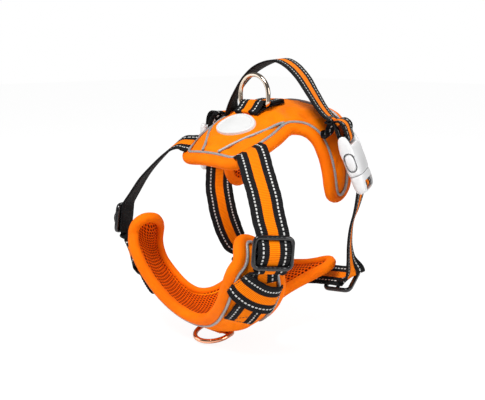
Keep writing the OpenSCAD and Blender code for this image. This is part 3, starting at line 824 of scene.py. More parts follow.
def panel_lining(kind, nx, ny):
    """the air-mesh side, with soft hollows inside the edge roll"""
    flat, inset = pattern_grid(PANELS[kind], nx, ny)
    # tuck the outer row under the edge roll; grid is a view, so this moves flat
    grid = flat.reshape(2 * nx + 1, ny + 1, 2)
    for edge, inner in ((grid[0], grid[1]), (grid[-1], grid[-2]),
                        (grid[:, 0], grid[:, 1]), (grid[:, -1], grid[:, -2])):
        out = edge - inner
        edge += 2.3 * out / np.maximum(np.linalg.norm(out, axis=1), 1e-6)[:, None]
    dents = pattern_noise(flat, 16.0, 1.7)
    face = (-7.55 - 1.1 * smooth(inset / 10.0) - 0.55 * dents * smooth(inset / 6.0)
            + 1.6 * (1 - smooth(inset / 4.0)))
    obj = shell(f"{kind}_panel_lining", PANELS[kind], flat, face, face + 0.9, nx, ny,
                first_up=False)
    subdivide(obj)
    dress(obj, mat=LINING, slot="mesh_lining", nodes=(f"{kind}_lining",))


def cord_line(surface, pattern, beside, above, closed, passes):
    """a line beside a pattern line and above the surface, with its side and up axes"""
    n = len(pattern)
    after = [(k + 1) % n if closed else min(k + 1, n - 1) for k in range(n)]
    before = [(k - 1) % n if closed else max(k - 1, 0) for k in range(n)]
    base = np.array([surface(x, y, above) for x, y in pattern])
    normals = np.array([normal_at(surface, x, y) for x, y in pattern])
    line = []
    for k in range(n):
        ahead = pattern[after[k]] - pattern[before[k]]
        x, y = pattern[k] + 0.5 * unit(vec(ahead[1], -ahead[0]))
        out = surface(x, y, above) - base[k]
        side = unit(np.cross(base[after[k]] - base[before[k]], normals[k]))
        line.append(base[k] + beside * (1 if side @ out >= 0 else -1) * side)
    line = np.array(line)
    for _ in range(passes):
        line = soften(line, closed)
    ahead = tangents(line, closed)
    sides = np.array([unit(np.cross(t, normal)) for t, normal in zip(ahead, normals)])
    ups = np.cross(sides, ahead)
    # turn the side axes away from the line's middle
    mid = line.mean(0)
    flip = np.sign(sum(float(side @ (point - mid)) for side, point in zip(sides, line)))
    return line, sides * flip, ups


def edge_roll(kind):
    """the bound roll round a panel, and the seam that closes it"""
    half_x, half_z, count = 4.75, 4.35, 22
    line, sides, ups = cord_line(PANELS[kind].surface, fine_outline(PANELS[kind], 1.7),
                                 beside=4.0, above=-PAD_THICK / 2, closed=True, passes=6)
    section = []
    for a in range(count):
        g = 2 * math.pi * a / count
        x, z = math.cos(g), math.sin(g)
        # slimmer where it folds under on to the lining
        slim = 0.56 if x < 0 and z < 0.15 else 1.0
        section.append((half_x * slim * math.copysign(abs(x) ** 0.94, x),
                        half_z * math.copysign(abs(z) ** 0.94, z)))
    dist = lengths(line)

    def crease(k, a):
        x, z = section[a]
        point = line[k] + sides[k] * x + ups[k] * z
        inner = max(0.0, -x / half_x)
        return (1 + (noise.noise(Vector(point / 9.0)) * 0.034
                + 0.060 * inner ** 1.5 * noise.noise(Vector((dist[k] / 2.6, a * 0.12, 4.0)))
                + 0.026 * noise.noise(Vector((dist[k] / 4.5, a * 0.5, 9.0)))))

    points, faces = sweep(line, sides, ups, section, True, crease)
    attrs = dict(su=np.tile(np.arange(count) * (2 * math.pi * 4.5 / count), len(line)),
                 sv=np.repeat(dist, count))
    make(f"{kind}_edge_roll", points, faces, attrs, slot="edge_fabric", mat=EDGE,
         nodes=(f"{kind}_rim",))

    # one row of stitches, at this angle up from the outer side
    angle, pitch, length = 2.02, 3.0, 2.0
    dist = lengths(np.vstack([line, line[:1]]))
    stitches = []
    for at in np.arange(0, dist[-1] - 2.6, pitch):
        picks = [int(np.searchsorted(dist, s)) % len(line) for s in (at, at + length)]
        start, end = (line[k] + sides[k] * half_x * math.cos(angle)
                      + ups[k] * (half_z + 0.1) * math.sin(angle) for k in picks)
        k = picks[0]
        stitches.append((start, end,
                         unit(sides[k] * math.cos(angle) + ups[k] * math.sin(angle))))
    thread(f"{kind}_edge_stitching", stitches, radius=0.2, mat=ORANGE_THREAD)


def piping(surface, pattern, beside, above, radius, closed):
    """points, faces, su and sv of a thin cord"""
    line, sides, ups = cord_line(surface, pattern, beside, above, closed, passes=4)
    count = 12
    section = [(radius * math.cos(2 * math.pi * a / count),
                radius * math.sin(2 * math.pi * a / count)) for a in range(count)]
    dist = lengths(line)
    points, faces = sweep(
        line, sides, ups, section, closed,
        lambda k, a: 1 + 0.03 * noise.noise(Vector((dist[k] / 2.2, a, 1.0))))
    return points, faces, np.tile(np.arange(count) * 0.6, len(line)), np.repeat(dist, count)


def edge_piping(kind):
    panel = PANELS[kind]
    points, faces, su, sv = piping(panel.surface, fine_outline(panel, 1.5), beside=0.4,
                                   above=-0.1, radius=1.12, closed=True)
    make(f"{kind}_reflective_piping", points, faces, dict(su=su, sv=sv),
         slot="reflective_piping", mat=TAPE, nodes=(f"{kind}_piping",))


def shoulder_piping():
    """two mirrored cords on the back panel, in one object"""
    course = table([[8.5, -55.5], [13, -47], [19, -38], [25, -29], [29.5, -19],
                    [31.5, -9.5], [33.5, -4]])  # pattern x, y
    course = even(np.array([along(course, i / 60) for i in range(61)]), 1.3, False)
    cords = [piping(back_point, course * vec(side, 1), beside=0.0, above=0.75, radius=1.05,
                    closed=False) for side in (1, -1)]
    first = len(cords[0][0])
    faces = cords[0][1] + [tuple(i + first for i in face) for face in cords[1][1]]
    points, su, sv = (np.concatenate([cord[k] for cord in cords]) for k in (0, 2, 3))
    make("shoulder_reflective_piping", points, faces, dict(su=su, sv=sv),
         slot="reflective_piping", mat=TAPE, nodes=("accent_piping",))


def box_hold(x, y, x_span, y_span, fade=4.0):
    """1 inside a pattern rectangle, fading to 0 around it"""
    dx = max(x_span[0] - x, x - x_span[1], 0.0)
    dy = max(y_span[0] - y, y - y_span[1], 0.0)
    return 1 - smooth(math.hypot(dx, dy) / fade)


def back_hold(x, y):
    """held under the badge, the spine strap, the neck straps and the anchors"""
    return max(1 - smooth((math.hypot(x / 19.0, (y - BADGE_Y) / 12.5) - 1.0) / 0.25),
               box_hold(x, y, (0, 12.5), (-9.5, 20.5)),
               box_hold(x, y, (24, 60), (-46, -28), fade=3),
               box_hold(x, y, (46, 70), (16, 44)))


def chest_hold(x, y):
    """held under the arm straps and the front ring tab"""
    return max(box_hold(x, y, (48, 97), (-78, -50)),
               box_hold(x, y, (0, 11), (-48, -22), fade=3))


panel_cover("back", 44, 40, back_hold)
panel_cover("chest", 52, 40, chest_hold)
panel_lining("back", 34, 30)
panel_lining("chest", 40, 30)
for kind in PANELS:
    edge_roll(kind)
for kind in PANELS:
    edge_piping(kind)
shoulder_piping()


# ---------------------------------------------------------------- badge
def badge():
    """an oval rubber badge: a low dome inside a raised rim"""
    count = 96
    radii = [i / 16 * 0.76 for i in range(1, 17)] + [
        0.79, 0.81, 0.83, 0.85, 0.88, 0.91, 0.935, 0.955, 0.97, 0.985, 1.0, 1.0]

    def height(r):
        return (1.15 + 0.25 * (1 - r * r)
                + 0.75 * smooth((r - 0.80) / 0.05) * (1 - smooth((r - 0.93) / 0.06))
                - 1.5 * smooth((r - 0.95) / 0.06))

    heights = [height(r) for r in radii[:-1]] + [-0.6]  # the last ring drops into the cloth
    points = []
    for r, h in zip(radii, heights):
        for k in range(count):
            g = 2 * math.pi * k / count
            points.append(back_point(BADGE_HALF_X * r * math.cos(g),
                                     BADGE_Y + BADGE_HALF_Y * r * math.sin(g), 0.2 + h))
    points.append(back_point(0, BADGE_Y, 0.2 + height(0)))
    points.append(back_point(0, BADGE_Y, -0.4))
    faces = tube_faces(len(radii), count, caps=False)
    top = len(radii) * count
    last = top - count
    for k in range(count):
        after = (k + 1) % count
        faces.append((top, after, k))
        faces.append((top + 1, last + k, last + after))
    make("badge_oval", points, faces, {}, slot="badge_rubber", mat=RUBBER, nodes=("badge",))


badge()


# ---------------------------------------------------------------- strap along the spine
def spine_strap():
    """a flat lower strap, and an upper one that arches over the back ring's wire"""
    strap("spine_strap_lower", [back_point(0, y, 0.95) for y in np.arange(-9.5, 23.1, 1.6)],
          (1, 0, 0), face=-1, mat=WEB_BOTH, nodes=("spine_base",))
    top = wrap_radius(RING_WIRE_R)
    # y, z of the arch
    arch = ((-4.3, -0.6), (-3, 1.0), (-1.6, top - 0.35), (0, top), (1.6, top - 0.2),
            (3.3, top - 0.8), (5.2, top - 1.4))
    points = ([back_point(0, y, 2.65) for y in (-10.0, -8.4, -6.6)]
              + [vec(0, y, z) for y, z in arch]
              + [back_point(0, y, 2.65) for y in (8.5, 11, 14, 17, 20, 22)])
    path = strap("spine_strap_tunnel", points, (1, 0, 0), face=-1, mat=WEB_BOTH,
                 nodes=("spine_webbing",))
    # two rows at the neck end, a crossed box at the tail end
    box, end, half = path.dist[-1] - 14, path.dist[-1] - 1.4, 10.8
    stitches = (seam(path, [(1.2, -10.6), (1.2, 10.6)], -1)
                + seam(path, [(4.6, -10.6), (4.6, 10.6)], -1)
                + seam(path, [(box, -half), (end, -half), (end, half), (box, half),
                              (box, -half), (end, half)], -1)
                + seam(path, [(box, half), (end, -half)], -1))
    thread("spine_strap_stitching", stitches, mat=BLACK_THREAD)


spine_strap()

# ---------------------------------------------------------------- handle and buckle anchors
# The buckle's own frame: x across the webbing, y up along it, z outwards.
BUCKLE_UP = unit([-0.3, -0.22, 0.93])
BUCKLE_OUT = unit(np.cross([-0.45, 0.885, 0.07], BUCKLE_UP))
BUCKLE_ACROSS = np.cross(BUCKLE_UP, BUCKLE_OUT)
in_buckle = placer(vec(69.5, 29, -23.5) - ANCHOR_BAR_Y * BUCKLE_UP,
                   BUCKLE_ACROSS, BUCKLE_UP, BUCKLE_OUT)

# x, y, z of the handle's middle, and its width direction there
HANDLE = table([
    [-57.2, 27.3, -12.6, -0.42, 0.88, 0.0],
    [-53.4, 26.2, -8.6, -0.42, 0.88, 0.1],
    [-50.5, 25, -3.4, -0.42, 0.88, 0.2],
    [-46.5, 25, 3.6, -0.42, 0.88, 0.2],
    [-40, 25.6, 12.5, -0.38, 0.9, 0.18],
    [-30, 26.8, 22.5, -0.25, 0.95, 0.15],
    [-17, 28.4, 30.3, -0.1, 0.98, 0.1],
    [-2, 30, 34, -0.1, 0.99, 0.05],
    [9.5, 30.8, 31, -0.14, 0.98, 0],
    [21.5, 31, 22.5, -0.18, 0.98, -0.04],
    [32.5, 29.6, 11.5, -0.22, 0.96, -0.09],
    [41.5, 27.8, 2.6, -0.26, 0.95, -0.1],
    [49.0, 26.4, -4.0, -0.30, 0.94, -0.08],
    [53.6, 26.6, -7.9, -0.34, 0.93, -0.05],
    [58.2, 28.0, -10.6, -0.36, 0.92, 0.0]])


def handle():
    path = strap("handle_strap", HANDLE[:, :3], HANDLE[:, 3:], face=-1, mat=WEB_ONE,
                 body=None, nodes=("handle",))
    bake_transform(path.obj)
    for side, at in (("right", 3.6), ("left", path.dist[-1] - 3.4)):
        thread(f"handle_bar_tack_{side}", bar_tack(path, at, -1), radius=0.26,
               mat=BLACK_THREAD, nodes=(f"handle_tack_{side}",))


def anchor(side):
    """the loop that ties a buckle socket's bar to the back panel"""
    wrap = wrap_radius(ANCHOR_BAR_R)
    turns = [(math.radians(a - 180), math.radians(a)) for a in range(185, 361, 25)]
    points = ([back_point(55.8, 30.8, 1.3), back_point(56.6, 30.8, 1.8),
               back_point(57.4, 30.6, 2.2), vec(59.0, 30.1, -16.4), vec(62.6, 29.4, -17.2),
               in_buckle(0, ANCHOR_BAR_Y + 4.6, -wrap - 0.1)]
              + [in_buckle(0, ANCHOR_BAR_Y - wrap * math.sin(a), wrap * math.cos(b))
                 for a, b in turns]
              + [in_buckle(0, ANCHOR_BAR_Y + 4.4, wrap + 0.1), vec(68.9, 29.2, -14.0),
                 vec(65.4, 29.2, -11.4), vec(61.6, 28.8, -10.8), vec(57.8, 28.0, -11.8),
                 vec(55.2, 27.2, -11.2)])
    across = ([(-0.3, 0.93, 0.08)] * 3 + [(-0.38, 0.92, 0.05)] * 2
              + [BUCKLE_ACROSS] * (len(points) - 5))
    mirror = side == "right"
    path = strap(f"anchor_loop_{side}", points, across, mat=WEB_BOTH,
                 nodes=(f"anchor_{side}",), mirror=mirror, start=3.0)
    thread(f"anchor_stitching_{side}",
           seam(path, [(1.2, -11), (1.2, 11)], -1) + seam(path, [(3.8, -11), (3.8, 11)], -1),
           mat=BLACK_THREAD, mirror=mirror)


handle()
for side in SIDES:
    anchor(side)


# ---------------------------------------------------------------- solid parts, in mm
def superellipse(half_x, half_z, count, power):
    ring = []
    for k in range(count):
        g = 2 * math.pi * k / count
        c, s = math.cos(g), math.sin(g)
        ring.append((half_x * math.copysign(abs(c) ** (2 / power), c),
                     half_z * math.copysign(abs(s) ** (2 / power), s)))
    return ring


def solid(name, points, faces):
    return new_object(name, new_mesh(name, points, faces))


def loft(name, rows, count, side=1):
    """a closed body; rows are y, half width, half thickness, squareness, middle x times side"""
    points = [(x + side * mid, y, z) for y, half_x, half_z, power, mid in rows
              for x, z in superellipse(half_x, half_z, count, power)]
    return solid(name, points, tube_faces(len(rows), count))


def rod(name, half, y, z, radius, radius_z=None, count=24, steps=4):
    """a bar along x with domed ends"""
    radius_z = radius_z or radius
    stations = []  # x, and the section's scale there
    for i in range(steps + 1):
        g = math.pi / 2 * i / steps
        stations.append((-half - radius * math.cos(g) * 0.9, max(0.05, math.sin(g))))
    stations += [(-x, size) for x, size in reversed(stations)]
    points = []
    for x, size in stations:
        for a in range(count):
            g = 2 * math.pi * a / count
            points.append((x, y - size * radius * math.cos(g),
                           z + size * radius_z * math.sin(g)))
    return solid(name, points, tube_faces(len(stations), count))


def window_cutter(mid):
    """a rounded slot along x that cuts the window in a socket's side"""
    low, high, radius, depth, count = 3.0, 18.2, 4.1, 9.0, 40
    ring = []
    for k in range(count):
        g = 2 * math.pi * k / count
        centre = low + radius if math.sin(g) < 0 else high - radius
        ring.append((centre + radius * math.sin(g), radius * math.cos(g)))
    points = [(x, y, z) for x in (mid - depth / 2, mid + depth / 2) for y, z in ring]
    return solid("window", points, tube_faces(2, count))


def combine(base, tools, operation):
    for tool in tools:
        mod = base.modifiers.new("b", "BOOLEAN")
        mod.operation, mod.object, mod.solver = operation, tool, "EXACT"
    apply_mods(base)
    for tool in tools:
        bpy.data.objects.remove(tool)
    # clear the slivers a boolean leaves
    edit = bmesh.new()
    edit.from_mesh(base.data)
    bmesh.ops.remove_doubles(edit, verts=edit.verts, dist=0.008)
    bmesh.ops.dissolve_degenerate(edit, edges=edit.edges, dist=0.008)
    edit.to_mesh(base.data)
    edit.free()


def place(obj, side, to_harness, bevel=None, **dressing):
    """moves a solid part from its own frame in mm to the harness in metres"""
    mesh = obj.data
    points = np.array([to_harness(*v.co) for v in mesh.vertices]) * MM
    if side == "right":
        points[:, 0] *= -1
    mesh.vertices.foreach_set("co", points.astype(np.float32).ravel())
    if side == "right":
        mesh.flip_normals()
    mesh.update()
    face_outwards(mesh)
    mesh.shade_smooth()
    if bevel:
        mod = obj.modifiers.new("bev", "BEVEL")
        mod.width, mod.segments = bevel * MM, 3
        mod.limit_method, mod.angle_limit = "ANGLE", math.radians(40)
        apply_mods(obj)
    mod = obj.modifiers.new("wn", "WEIGHTED_NORMAL")
    mod.keep_sharp = True
    apply_mods(obj)
    dress(obj, **dressing)


# ---------------------------------------------------------------- side-release buckles
# Rows of every table: y, half width, half thickness, squareness, middle x.
SOCKET = [
    (0.0, 16.6, 5.2, 4.2, 0), (0.35, 17.1, 5.6, 4.0, 0), (1.4, 17.45, 5.95, 3.8, 0),
    (4, 17.5, 6.3, 3.4, 0), (8, 17.5, 6.55, 3.1, 0), (12, 17.5, 6.55, 3.1, 0),
    (16, 17.5, 6.3, 3.2, 0), (19.5, 17.45, 5.7, 3.6, 0), (21.6, 17.3, 4.9, 4.2, 0),
    (22.3, 17.0, 4.3, 4.5, 0), (22.6, 16.4, 3.6, 4.5, 0)]
EAR = [
    (15.0, 2.2, 5.2, 2.6, 14.9), (19.0, 2.5, 5.3, 2.4, 15.0), (23.0, 2.5, 4.8, 2.3, 15.1),
    (26.0, 2.45, 4.2, 2.2, 15.2), (28.2, 2.35, 3.6, 2.1, 15.2), (29.8, 2.0, 2.7, 2.0, 15.2),
    (30.7, 1.3, 1.6, 2.0, 15.2), (31.0, 0.5, 0.6, 2.0, 15.2)]
CAVITY = [(-2, 15.3, 3.7, 8, 0), (19.6, 15.3, 3.7, 8, 0)]
PLUG = [
    (-14.6, 14.6, 2.8, 3.0, 0), (-14.2, 15.6, 4.0, 3.2, 0), (-13.0, 16.4, 5.0, 3.4, 0),
    (-10, 16.9, 5.7, 3.4, 0), (-5, 17.1, 6.0, 3.5, 0), (-2, 17.0, 5.8, 3.8, 0),
    (-0.75, 16.8, 5.5, 4.0, 0), (-0.35, 16.3, 5.0, 4.2, 0)]
PLUG_SLOT = [(-13.2, 13.25, 12, 10, 0), (-5.6, 13.25, 12, 10, 0)]
TONGUE = [
    (-1.2, 2.6, 2.2, 4, 0), (14, 2.5, 2.1, 4, 0), (17.2, 1.9, 1.5, 3, 0),
    (17.8, 1.0, 0.8, 2.5, 0)]
ARM = [
    (0.1, 1.4, 2.7, 4, 10.0), (3.0, 1.25, 2.7, 4, 11.0), (6.0, 1.2, 2.7, 4, 12.6),
    (9, 1.2, 2.7, 4, 13.2), (15.2, 1.2, 2.6, 4, 12.8), (17.2, 0.8, 2.2, 4, 11.4)]


def place_buckle(obj, side, body, node, bevel):
    place(obj, side, in_buckle, bevel, body=body, nodes=(node,), slot="buckle_plastic",
          mat=WHITE)


def socket(side):
    """a pillowed hollow body, with two ears that hold the anchor's bar"""
    body = loft(f"buckle_socket_{side}", SOCKET, 56)
    ears = [loft("ear", EAR, 28, x) for x in (-1, 1)]
    combine(body, ears + [rod("bar", 15.2, ANCHOR_BAR_Y, 0, ANCHOR_BAR_R)], "UNION")
    cuts = [loft("cavity", CAVITY, 40)] + [window_cutter(x * 17.0) for x in (-1, 1)]
    # a shallow groove across each face, just above the mouth
    cuts += [rod("groove", 12.5, 2.6, z * 6.75, 0.45, count=12, steps=2) for z in (-1, 1)]
    combine(body, cuts, "DIFFERENCE")
    place_buckle(body, side, "root", f"socket_{side}", bevel=0.28)


def plug(side):
    """a rounded foot with a slot for the strap, a bar and a guide tongue"""
    body = loft(f"buckle_plug_{side}", PLUG, 56)
    combine(body, [loft("slot", PLUG_SLOT, 40)], "DIFFERENCE")
    tongue = loft("tongue", TONGUE, 24)
    combine(body, [rod("plug_bar", 15.0, PLUG_BAR_Y, 0, PLUG_BAR_R), tongue], "UNION")
    place_buckle(body, side, f"plug_{side}", f"plug_{side}", bevel=0.25)


def latch(side, end, x):
    """a springy arm, and the finger pad that fills the socket's window"""
    arm = loft(f"buckle_latch_{side}_{end}", ARM, 32, x)
    rows = []
    for i in range(15):
        g = math.pi * i / 14
        size = math.sin(g) ** 0.55 if 0 < i < 14 else 0.08
        rows.append((10.6 - 6.7 * math.cos(g), 2.3 * size + 0.05, 3.35 * size + 0.05, 2.6,
                     14.75 + 0.35 * math.sin(g)))
    combine(arm, [loft("pad", rows, 32, x)], "UNION")
    place_buckle(arm, side, f"latch_{side}_{end}", f"latch_{side}_{end}", bevel=0.2)


for side in SIDES:
    socket(side)
    plug(side)
    latch(side, "rear", 1)
    latch(side, "front", -1)

# ---------------------------------------------------------------- girth straps
# The strap's end under the chest: y runs inwards along it, GIRTH_DOWN points away from the body.
GIRTH_IN = unit([-1, -0.28, -0.04])
GIRTH_DOWN = unit(np.cross(GIRTH_IN, unit([-0.12, 0.88, 0.40])))
GIRTH_ACROSS = np.cross(GIRTH_DOWN, GIRTH_IN)
on_girth = placer(vec(55, 48.2, -138.8), GIRTH_ACROSS, GIRTH_IN, -GIRTH_DOWN)


def girth(side):
    """from round the plug's bar, down the side and in under the chest"""
    wrap = wrap_radius(PLUG_BAR_R)
    turns = [math.radians(a) for a in range(-62, 150, 22)]
    blend_start, blend_end = vec(71.2, 34, -103), vec(77, 33.8, -78)
    points = ([in_buckle(0, PLUG_BAR_Y + wrap * math.sin(a), wrap * math.cos(a))
               for a in turns]
              + [in_buckle(0, -12.1, -wrap - 0.1), blend_end, vec(73.6, 32.8, -90),
                 blend_start, vec(68.8, 37.6, -117), vec(66.6, 42.6, -129),
                 vec(63.4, 47.6, -136.8)]
              + [on_girth(0, y, z) for y, z in ((-5.5, 0), (4, 0), (12.5, 0), (20, -0.2),
                                                (27, -1.2))])
    normals = ([BUCKLE_UP * math.sin(a) + BUCKLE_OUT * math.cos(a) for a in turns]
               + [BUCKLE_OUT, vec(0.87, 0.48, 0.1), vec(0.87, 0.5, 0.08),
                  vec(0.87, 0.5, 0.03), vec(0.87, 0.5, -0.06), vec(0.8, 0.45, -0.4),
                  vec(0.45, 0.05, -0.9)]
               + [GIRTH_DOWN] * 5)
    across = [unit(np.cross(t, n)) for t, n in zip(tangents(np.array(points)), normals)]
    for i in range(1, len(across)):  # keep the width from flipping over
        if across[i] @ across[i - 1] < 0:
            across[i] = -across[i]
    mirror = side == "right"
    path = strap(f"girth_webbing_{side}", points, across, mat=WEB_BOTH, body=None,
                 nodes=(f"girth_strap_{side}",), mirror=mirror, start=1.0)
    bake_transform(path.obj)


for side in SIDES:
    girth(side)


# ---------------------------------------------------------------- three-bar sliders
def triglide(label, side, to_harness):
    """a rounded frame with a middle bar across the strap"""
    half_x, half_y, corner = 13.5, 10.5, 3.6
    ring = []
    for sx, sy, first in ((1, 1, 0), (-1, 1, 90), (-1, -1, 180), (1, -1, 270)):
        for k in range(9):
            g = math.radians(first + 90 * k / 8)
            ring.append((sx * (half_x - corner) + corner * math.cos(g),
                         sy * (half_y - corner) + corner * math.sin(g)))
    line = np.array([vec(x, y, 0) for x, y in even(np.array(ring), 1.1)])
    ups = np.tile(vec(0, 0, 1), (len(line), 1))
    sides = np.array([unit(np.cross(t, up)) for t, up in zip(tangents(line, True), ups)])

    def swell(k, a):
        # the bars across the strap are fuller in the middle, and ribbed
        x, y = line[k][:2]
        on_bar = abs(y) > 9.5
        return (1.0 + (0.10 if on_bar and abs(x) < 9 else 0.0)
                + 0.04 * math.sin(x * 1.9) * on_bar)

    points, faces = sweep(line, sides, ups, superellipse(1.62, 1.72, 20, 2.5), True, swell)
    body = solid(f"{label}_triglide_{side}", points, faces)
    combine(body, [rod("middle", half_x - 0.4, 0, 0, 1.45, 1.4)], "UNION")
    slider = f"{label}_slider_{side}"
    place(body, side, to_harness, body=slider, nodes=(slider,), slot="slider_plastic",
          mat=BLACK)


# The neck slider's frame: x across the strap, y up along it, z outwards.
NECK_UP = unit([-0.02, 0.12, 1])
NECK_OUT = unit(np.cross(unit([0.5, 0.86, -0.08]), NECK_UP))
NECK_ACROSS = np.cross(NECK_UP, NECK_OUT)
on_neck = placer(vec(81.3, -66, -93), NECK_ACROSS, NECK_UP, NECK_OUT)
on_girth_slider = placer(on_girth(0, 1.5, -(SLIDER_LIFT + 0.4)),
                         GIRTH_ACROSS, GIRTH_IN, GIRTH_DOWN)

for side in SIDES:
    triglide("girth", side, on_girth_slider)
    triglide("neck", side, lambda x, y, z: on_neck(x, y, z + SLIDER_LIFT))


# ---------------------------------------------------------------- neck straps, keepers, arm straps
def chest_around(x, y):
    """direction around the chest"""
    return unit(chest_surface(x + 1, y) - chest_surface(x - 1, y))


def chest_along(x, y):
    """direction along the chest's surface, square to chest_around"""
    return unit(np.cross(chest_around(x, y), normal_at(chest_point, x, y)))


def tailward(direction):
    return direction * (1 if direction[1] > 0 else -1)


def outer_side(path, k, x, y):
    """1 if the strap's normal at point k faces out from the chest, else -1"""
    return 1 if path.normal[k] @ normal_at(chest_point, x, y) > 0 else -1


def neck_strap(side, mirror):
    """from under the back panel's edge, behind the slider and in under the keeper"""
    points = ([back_point(30.0, -46.8, 0.5), back_point(31.8, -47.3, 1.6),
               back_point(34.2, -48, 2.4), vec(38, -42, -29.9), vec(42, -44.7, -31.7),
               vec(46.8, -47.6, -35.6), vec(54.5, -52, -43.6), vec(66, -57.5, -57),
               vec(74.5, -62, -71)]
              + [on_neck(0, y, z) for y, z in ((12, -0.3), (7, 0), (0, 0), (-5, 0),
                                               (-10, -0.6), (-14.5, -2.4))]
              + [chest_point(97, -64.6, 4.6), chest_point(93.5, -63.8, 2.5),
                 chest_point(90, -63.3, 1.6)])
    across = ([(0.31, 0.86, 0.41)] * 2
              + [(0.32, 0.87, 0.38), (0.34, 0.88, 0.34), (0.36, 0.89, 0.29),
                 (0.39, 0.89, 0.24), (0.43, 0.88, 0.2), (0.48, 0.87, 0.1), (0.5, 0.86, 0)]
              + [NECK_ACROSS] * 6
              + [unit(NECK_ACROSS + vec(-0.2, 0.2, 0)), tailward(chest_along(93.5, -63.8)),
                 tailward(chest_along(90, -63.3))])
    strap(f"neck_webbing_{side}", points, across, width=24.5, face=-1, mat=WEB_ONE,
          nodes=(f"neck_strap_{side}",), mirror=mirror, start=0.7)


def neck_loop(side, mirror):
    """the short length that rises over the slider's middle bar"""
    top = wrap_radius(SLIDER_BAR_R * 0.95)
    half = [(8.6, -1.1), (6.9, 0.2), (4.8, 1.9), (2.3, top + 0.4)]  # y, z above the slider
    profile = half + [(0, top + 0.8)] + [(-y, z) for y, z in reversed(half)]
    strap(f"neck_webbing_loop_{side}", [on_neck(0, y, SLIDER_LIFT + z) for y, z in profile],
          NECK_ACROSS, width=23.4, face=-1, mat=WEB_ONE, body=f"neck_slider_{side}",
          nodes=(f"neck_loop_{side}",), mirror=mirror, start=0.4, step=0.8)


# pattern x, y and height above the chest panel
KEEPER = [
    (75.6, -78.2, 1.0), (75.7, -77.4, 1.7), (76.0, -76.0, 2.9), (76.8, -73.2, 3.7),
    (78.6, -67.8, 4.1), (80, -63, 4.3), (81.2, -58.3, 4.1), (82.4, -53.2, 3.7),
    (82.9, -50.4, 2.9), (83.2, -49.0, 1.7), (83.3, -48.2, 1.0)]
ARM_STRAP = [
    (48.5, -63.0, 0.75), (51, -63.2, 1.1), (56, -63.6, 1.15), (62, -64.0, 1.15),
    (68, -64, 1.2), (74, -64, 1.2), (80, -63.6, 1.2)]


def keeper(side, mirror):
    """a band over the neck strap's end"""
    path = strap(f"keeper_band_{side}", [chest_point(*row) for row in KEEPER],
                 [chest_around(x, y) for x, y, _ in KEEPER], mat=WEB_BOTH,
                 nodes=(f"keeper_{side}",), mirror=mirror, start=2.0)
    out = outer_side(path, len(path.normal) // 2, 80, -63)
    stitches = []
    for at in (1.0, path.dist[-1] - 1.0):
        stitches += seam(path, [(at, -11.3), (at, 11.3)], out)
    thread(f"keeper_stitching_{side}", stitches, mat=BLACK_THREAD, mirror=mirror)


def arm_strap(side, mirror):
    """the strap sewn flat on the chest panel, in towards its middle"""
    path = strap(f"arm_webbing_{side}", [chest_point(*row) for row in ARM_STRAP],
                 [chest_along(x, y) for x, y, _ in ARM_STRAP], width=23, mat=WEB_BOTH,
                 nodes=(f"arm_strap_{side}",), mirror=mirror, start=0.2)
    out = outer_side(path, 4, 56, -63)
    stitches = (seam(path, [(16, -10.2), (1.2, -10.2), (1.2, 10.2), (16, 10.2)], out)
                + seam(path, [(1.2, -10.2), (14, 10.2)], out))
    thread(f"arm_webbing_stitching_{side}", stitches, mat=BLACK_THREAD, mirror=mirror)


for side in SIDES:
    for build in (neck_strap, neck_loop, keeper, arm_strap):
        build(side, side == "right")


# ---------------------------------------------------------------- the tab that holds the front ring
def front_ring_tab():
    base, thick = -174.9, 1.2
    wrap = RING_WIRE_R + 0.35 + thick / 2
    # y, and z from the base height
    profile = ((-47.5, 0.9), (-44, -0.1), (-41.6, -1.5), (-39.9, 0.35 - wrap), (-38, -wrap),
               (-36.1, 0.35 - wrap), (-34.4, -1.3), (-32, 1.4), (-29, 3.4), (-26, 4.4),
               (-23, 5.2))
    path = strap("front_ring_tab", [vec(0, y, base + z) for y, z in profile], (1, 0, 0),
                 width=21, thick=thick, mat=EDGE, slot="edge_fabric", nodes=("ring_patch",))
    down = 1 if path.normal[len(path.normal) // 2][2] < 0 else -1
    box, end = path.dist[-1] - 9, path.dist[-1] - 1.2
    thread("front_ring_tab_stitching",
           seam(path, [(box, -9), (end, -9), (end, 9), (box, 9), (box, -9)], down)
           + seam(path, [(1.2, -9), (1.2, 9)], down), mat=ORANGE_THREAD)


front_ring_tab()

# ---------------------------------------------------------------- finishes of the CAD rings
for node, mat in (("back_ring", STEEL), ("front_ring", COPPER)):
    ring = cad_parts[node]
    if not ring.data.materials:
        ring.data.materials.append(mat)
    for ring_slot in ring.material_slots:
        ring_slot.link = "OBJECT"
        ring_slot.material = mat


# ---------------------------------------------------------------- floor, light, camera (metres)
def floor():
    """a white floor that glows to the camera and is plain matt to other rays"""
    half, z = 4, CAD_BOX[0][2] - 0.002
    mesh = bpy.data.meshes.new("floor")
    mesh.from_pydata([(-half, -half, z), (half, -half, z), (half, half, z), (-half, half, z)],
                     [], [(0, 1, 2, 3)])
    obj = new_object("floor", mesh)
    sh = Shader("floor", Roughness=0.9, Specular_IOR_Level=0.1)
    sh.color(sh.mix(sh.noise(scale=3, detail=2), (0.86, 0.86, 0.86), (0.9, 0.9, 0.9)))
    camera_ray = sh.node("ShaderNodeLightPath").outputs["Is Camera Ray"]
    glow = sh.node("ShaderNodeEmission")
    glow.inputs["Strength"].default_value = 1.12
    glow_share = 0.82
    blend = sh.node("ShaderNodeMixShader")
    sh.feed(blend.inputs[0], sh.times(camera_ray, glow_share))
    sh.feed(blend.inputs[1], sh.bsdf.outputs[0])
    sh.feed(blend.inputs[2], glow.outputs[0])
    output = next(n for n in sh.tree.nodes if n.type == "OUTPUT_MATERIAL")
    sh.feed(output.inputs[0], blend.outputs[0])
    mesh.materials.append(sh.material)


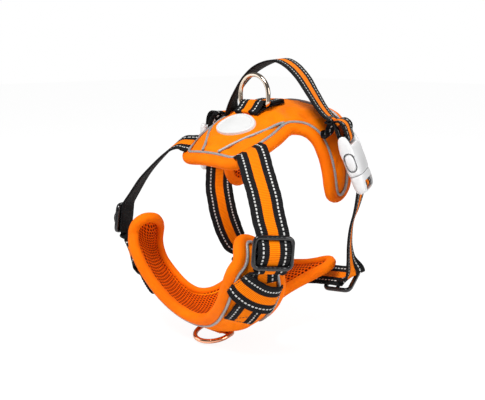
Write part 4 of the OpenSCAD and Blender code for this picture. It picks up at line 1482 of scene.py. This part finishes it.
def studio():
    """a white world: full strength to the camera, dimmer as light, dimmest in reflections"""
    base, camera_gain, glossy_gain = 0.40, 0.60, -0.26
    world = bpy.data.worlds.new("studio")
    scene.world = world
    world.use_nodes = True
    tree = world.node_tree
    background = tree.nodes["Background"]
    background.inputs["Color"].default_value = (1, 1, 1, 1)
    rays = tree.nodes.new("ShaderNodeLightPath").outputs

    def add_gain(ray, gain):
        node = tree.nodes.new("ShaderNodeMath")
        node.operation = "MULTIPLY_ADD"
        node.inputs[1].default_value = gain
        tree.links.new(rays[ray], node.inputs[0])
        return node

    glossy = add_gain("Is Glossy Ray", glossy_gain)
    glossy.inputs[2].default_value = base
    camera_node = add_gain("Is Camera Ray", camera_gain)
    tree.links.new(glossy.outputs[0], camera_node.inputs[2])
    tree.links.new(camera_node.outputs[0], background.inputs["Strength"])


def aim(obj, place, target):
    place, target = Vector(place), Vector(target)
    obj.location = place
    obj.rotation_euler = (target - place).to_track_quat("-Z", "Y").to_euler()


def area(name, place, target, size, power):
    light = bpy.data.lights.new(name, "AREA")
    light.shape, light.size, light.energy = "SQUARE", size, power
    aim(new_object(name, light), place, target)


def camera():
    data = bpy.data.cameras.new("camera")
    data.sensor_width, data.lens = 36.0, 59.0103093
    data.clip_start = 0.01
    obj = new_object("camera", data)
    turn, rise, distance = math.radians(45), math.radians(11), 0.631
    target = Vector((0, -0.013, -0.075))
    away = Vector((math.sin(turn) * math.cos(rise), -math.cos(turn) * math.cos(rise),
                   math.sin(rise)))
    aim(obj, target + distance * away, target)
    scene.camera = obj


floor()
studio()
area("key", place=(0.2, -0.6, 0.95), target=(0, 0, -0.07), size=0.45, power=14)
area("side", place=(1.0, 0.1, 0.25), target=(0, 0, -0.08), size=0.5, power=3.2)
area("fill", place=(-0.8, -0.6, 0.15), target=(0, 0, -0.08), size=0.6, power=1.7)
area("rim", place=(-0.2, 0.9, 0.6), target=(0, 0, -0.05), size=0.5, power=2.0)
camera()
scene.view_settings.view_transform = "Standard"
scene.view_settings.look = "None"
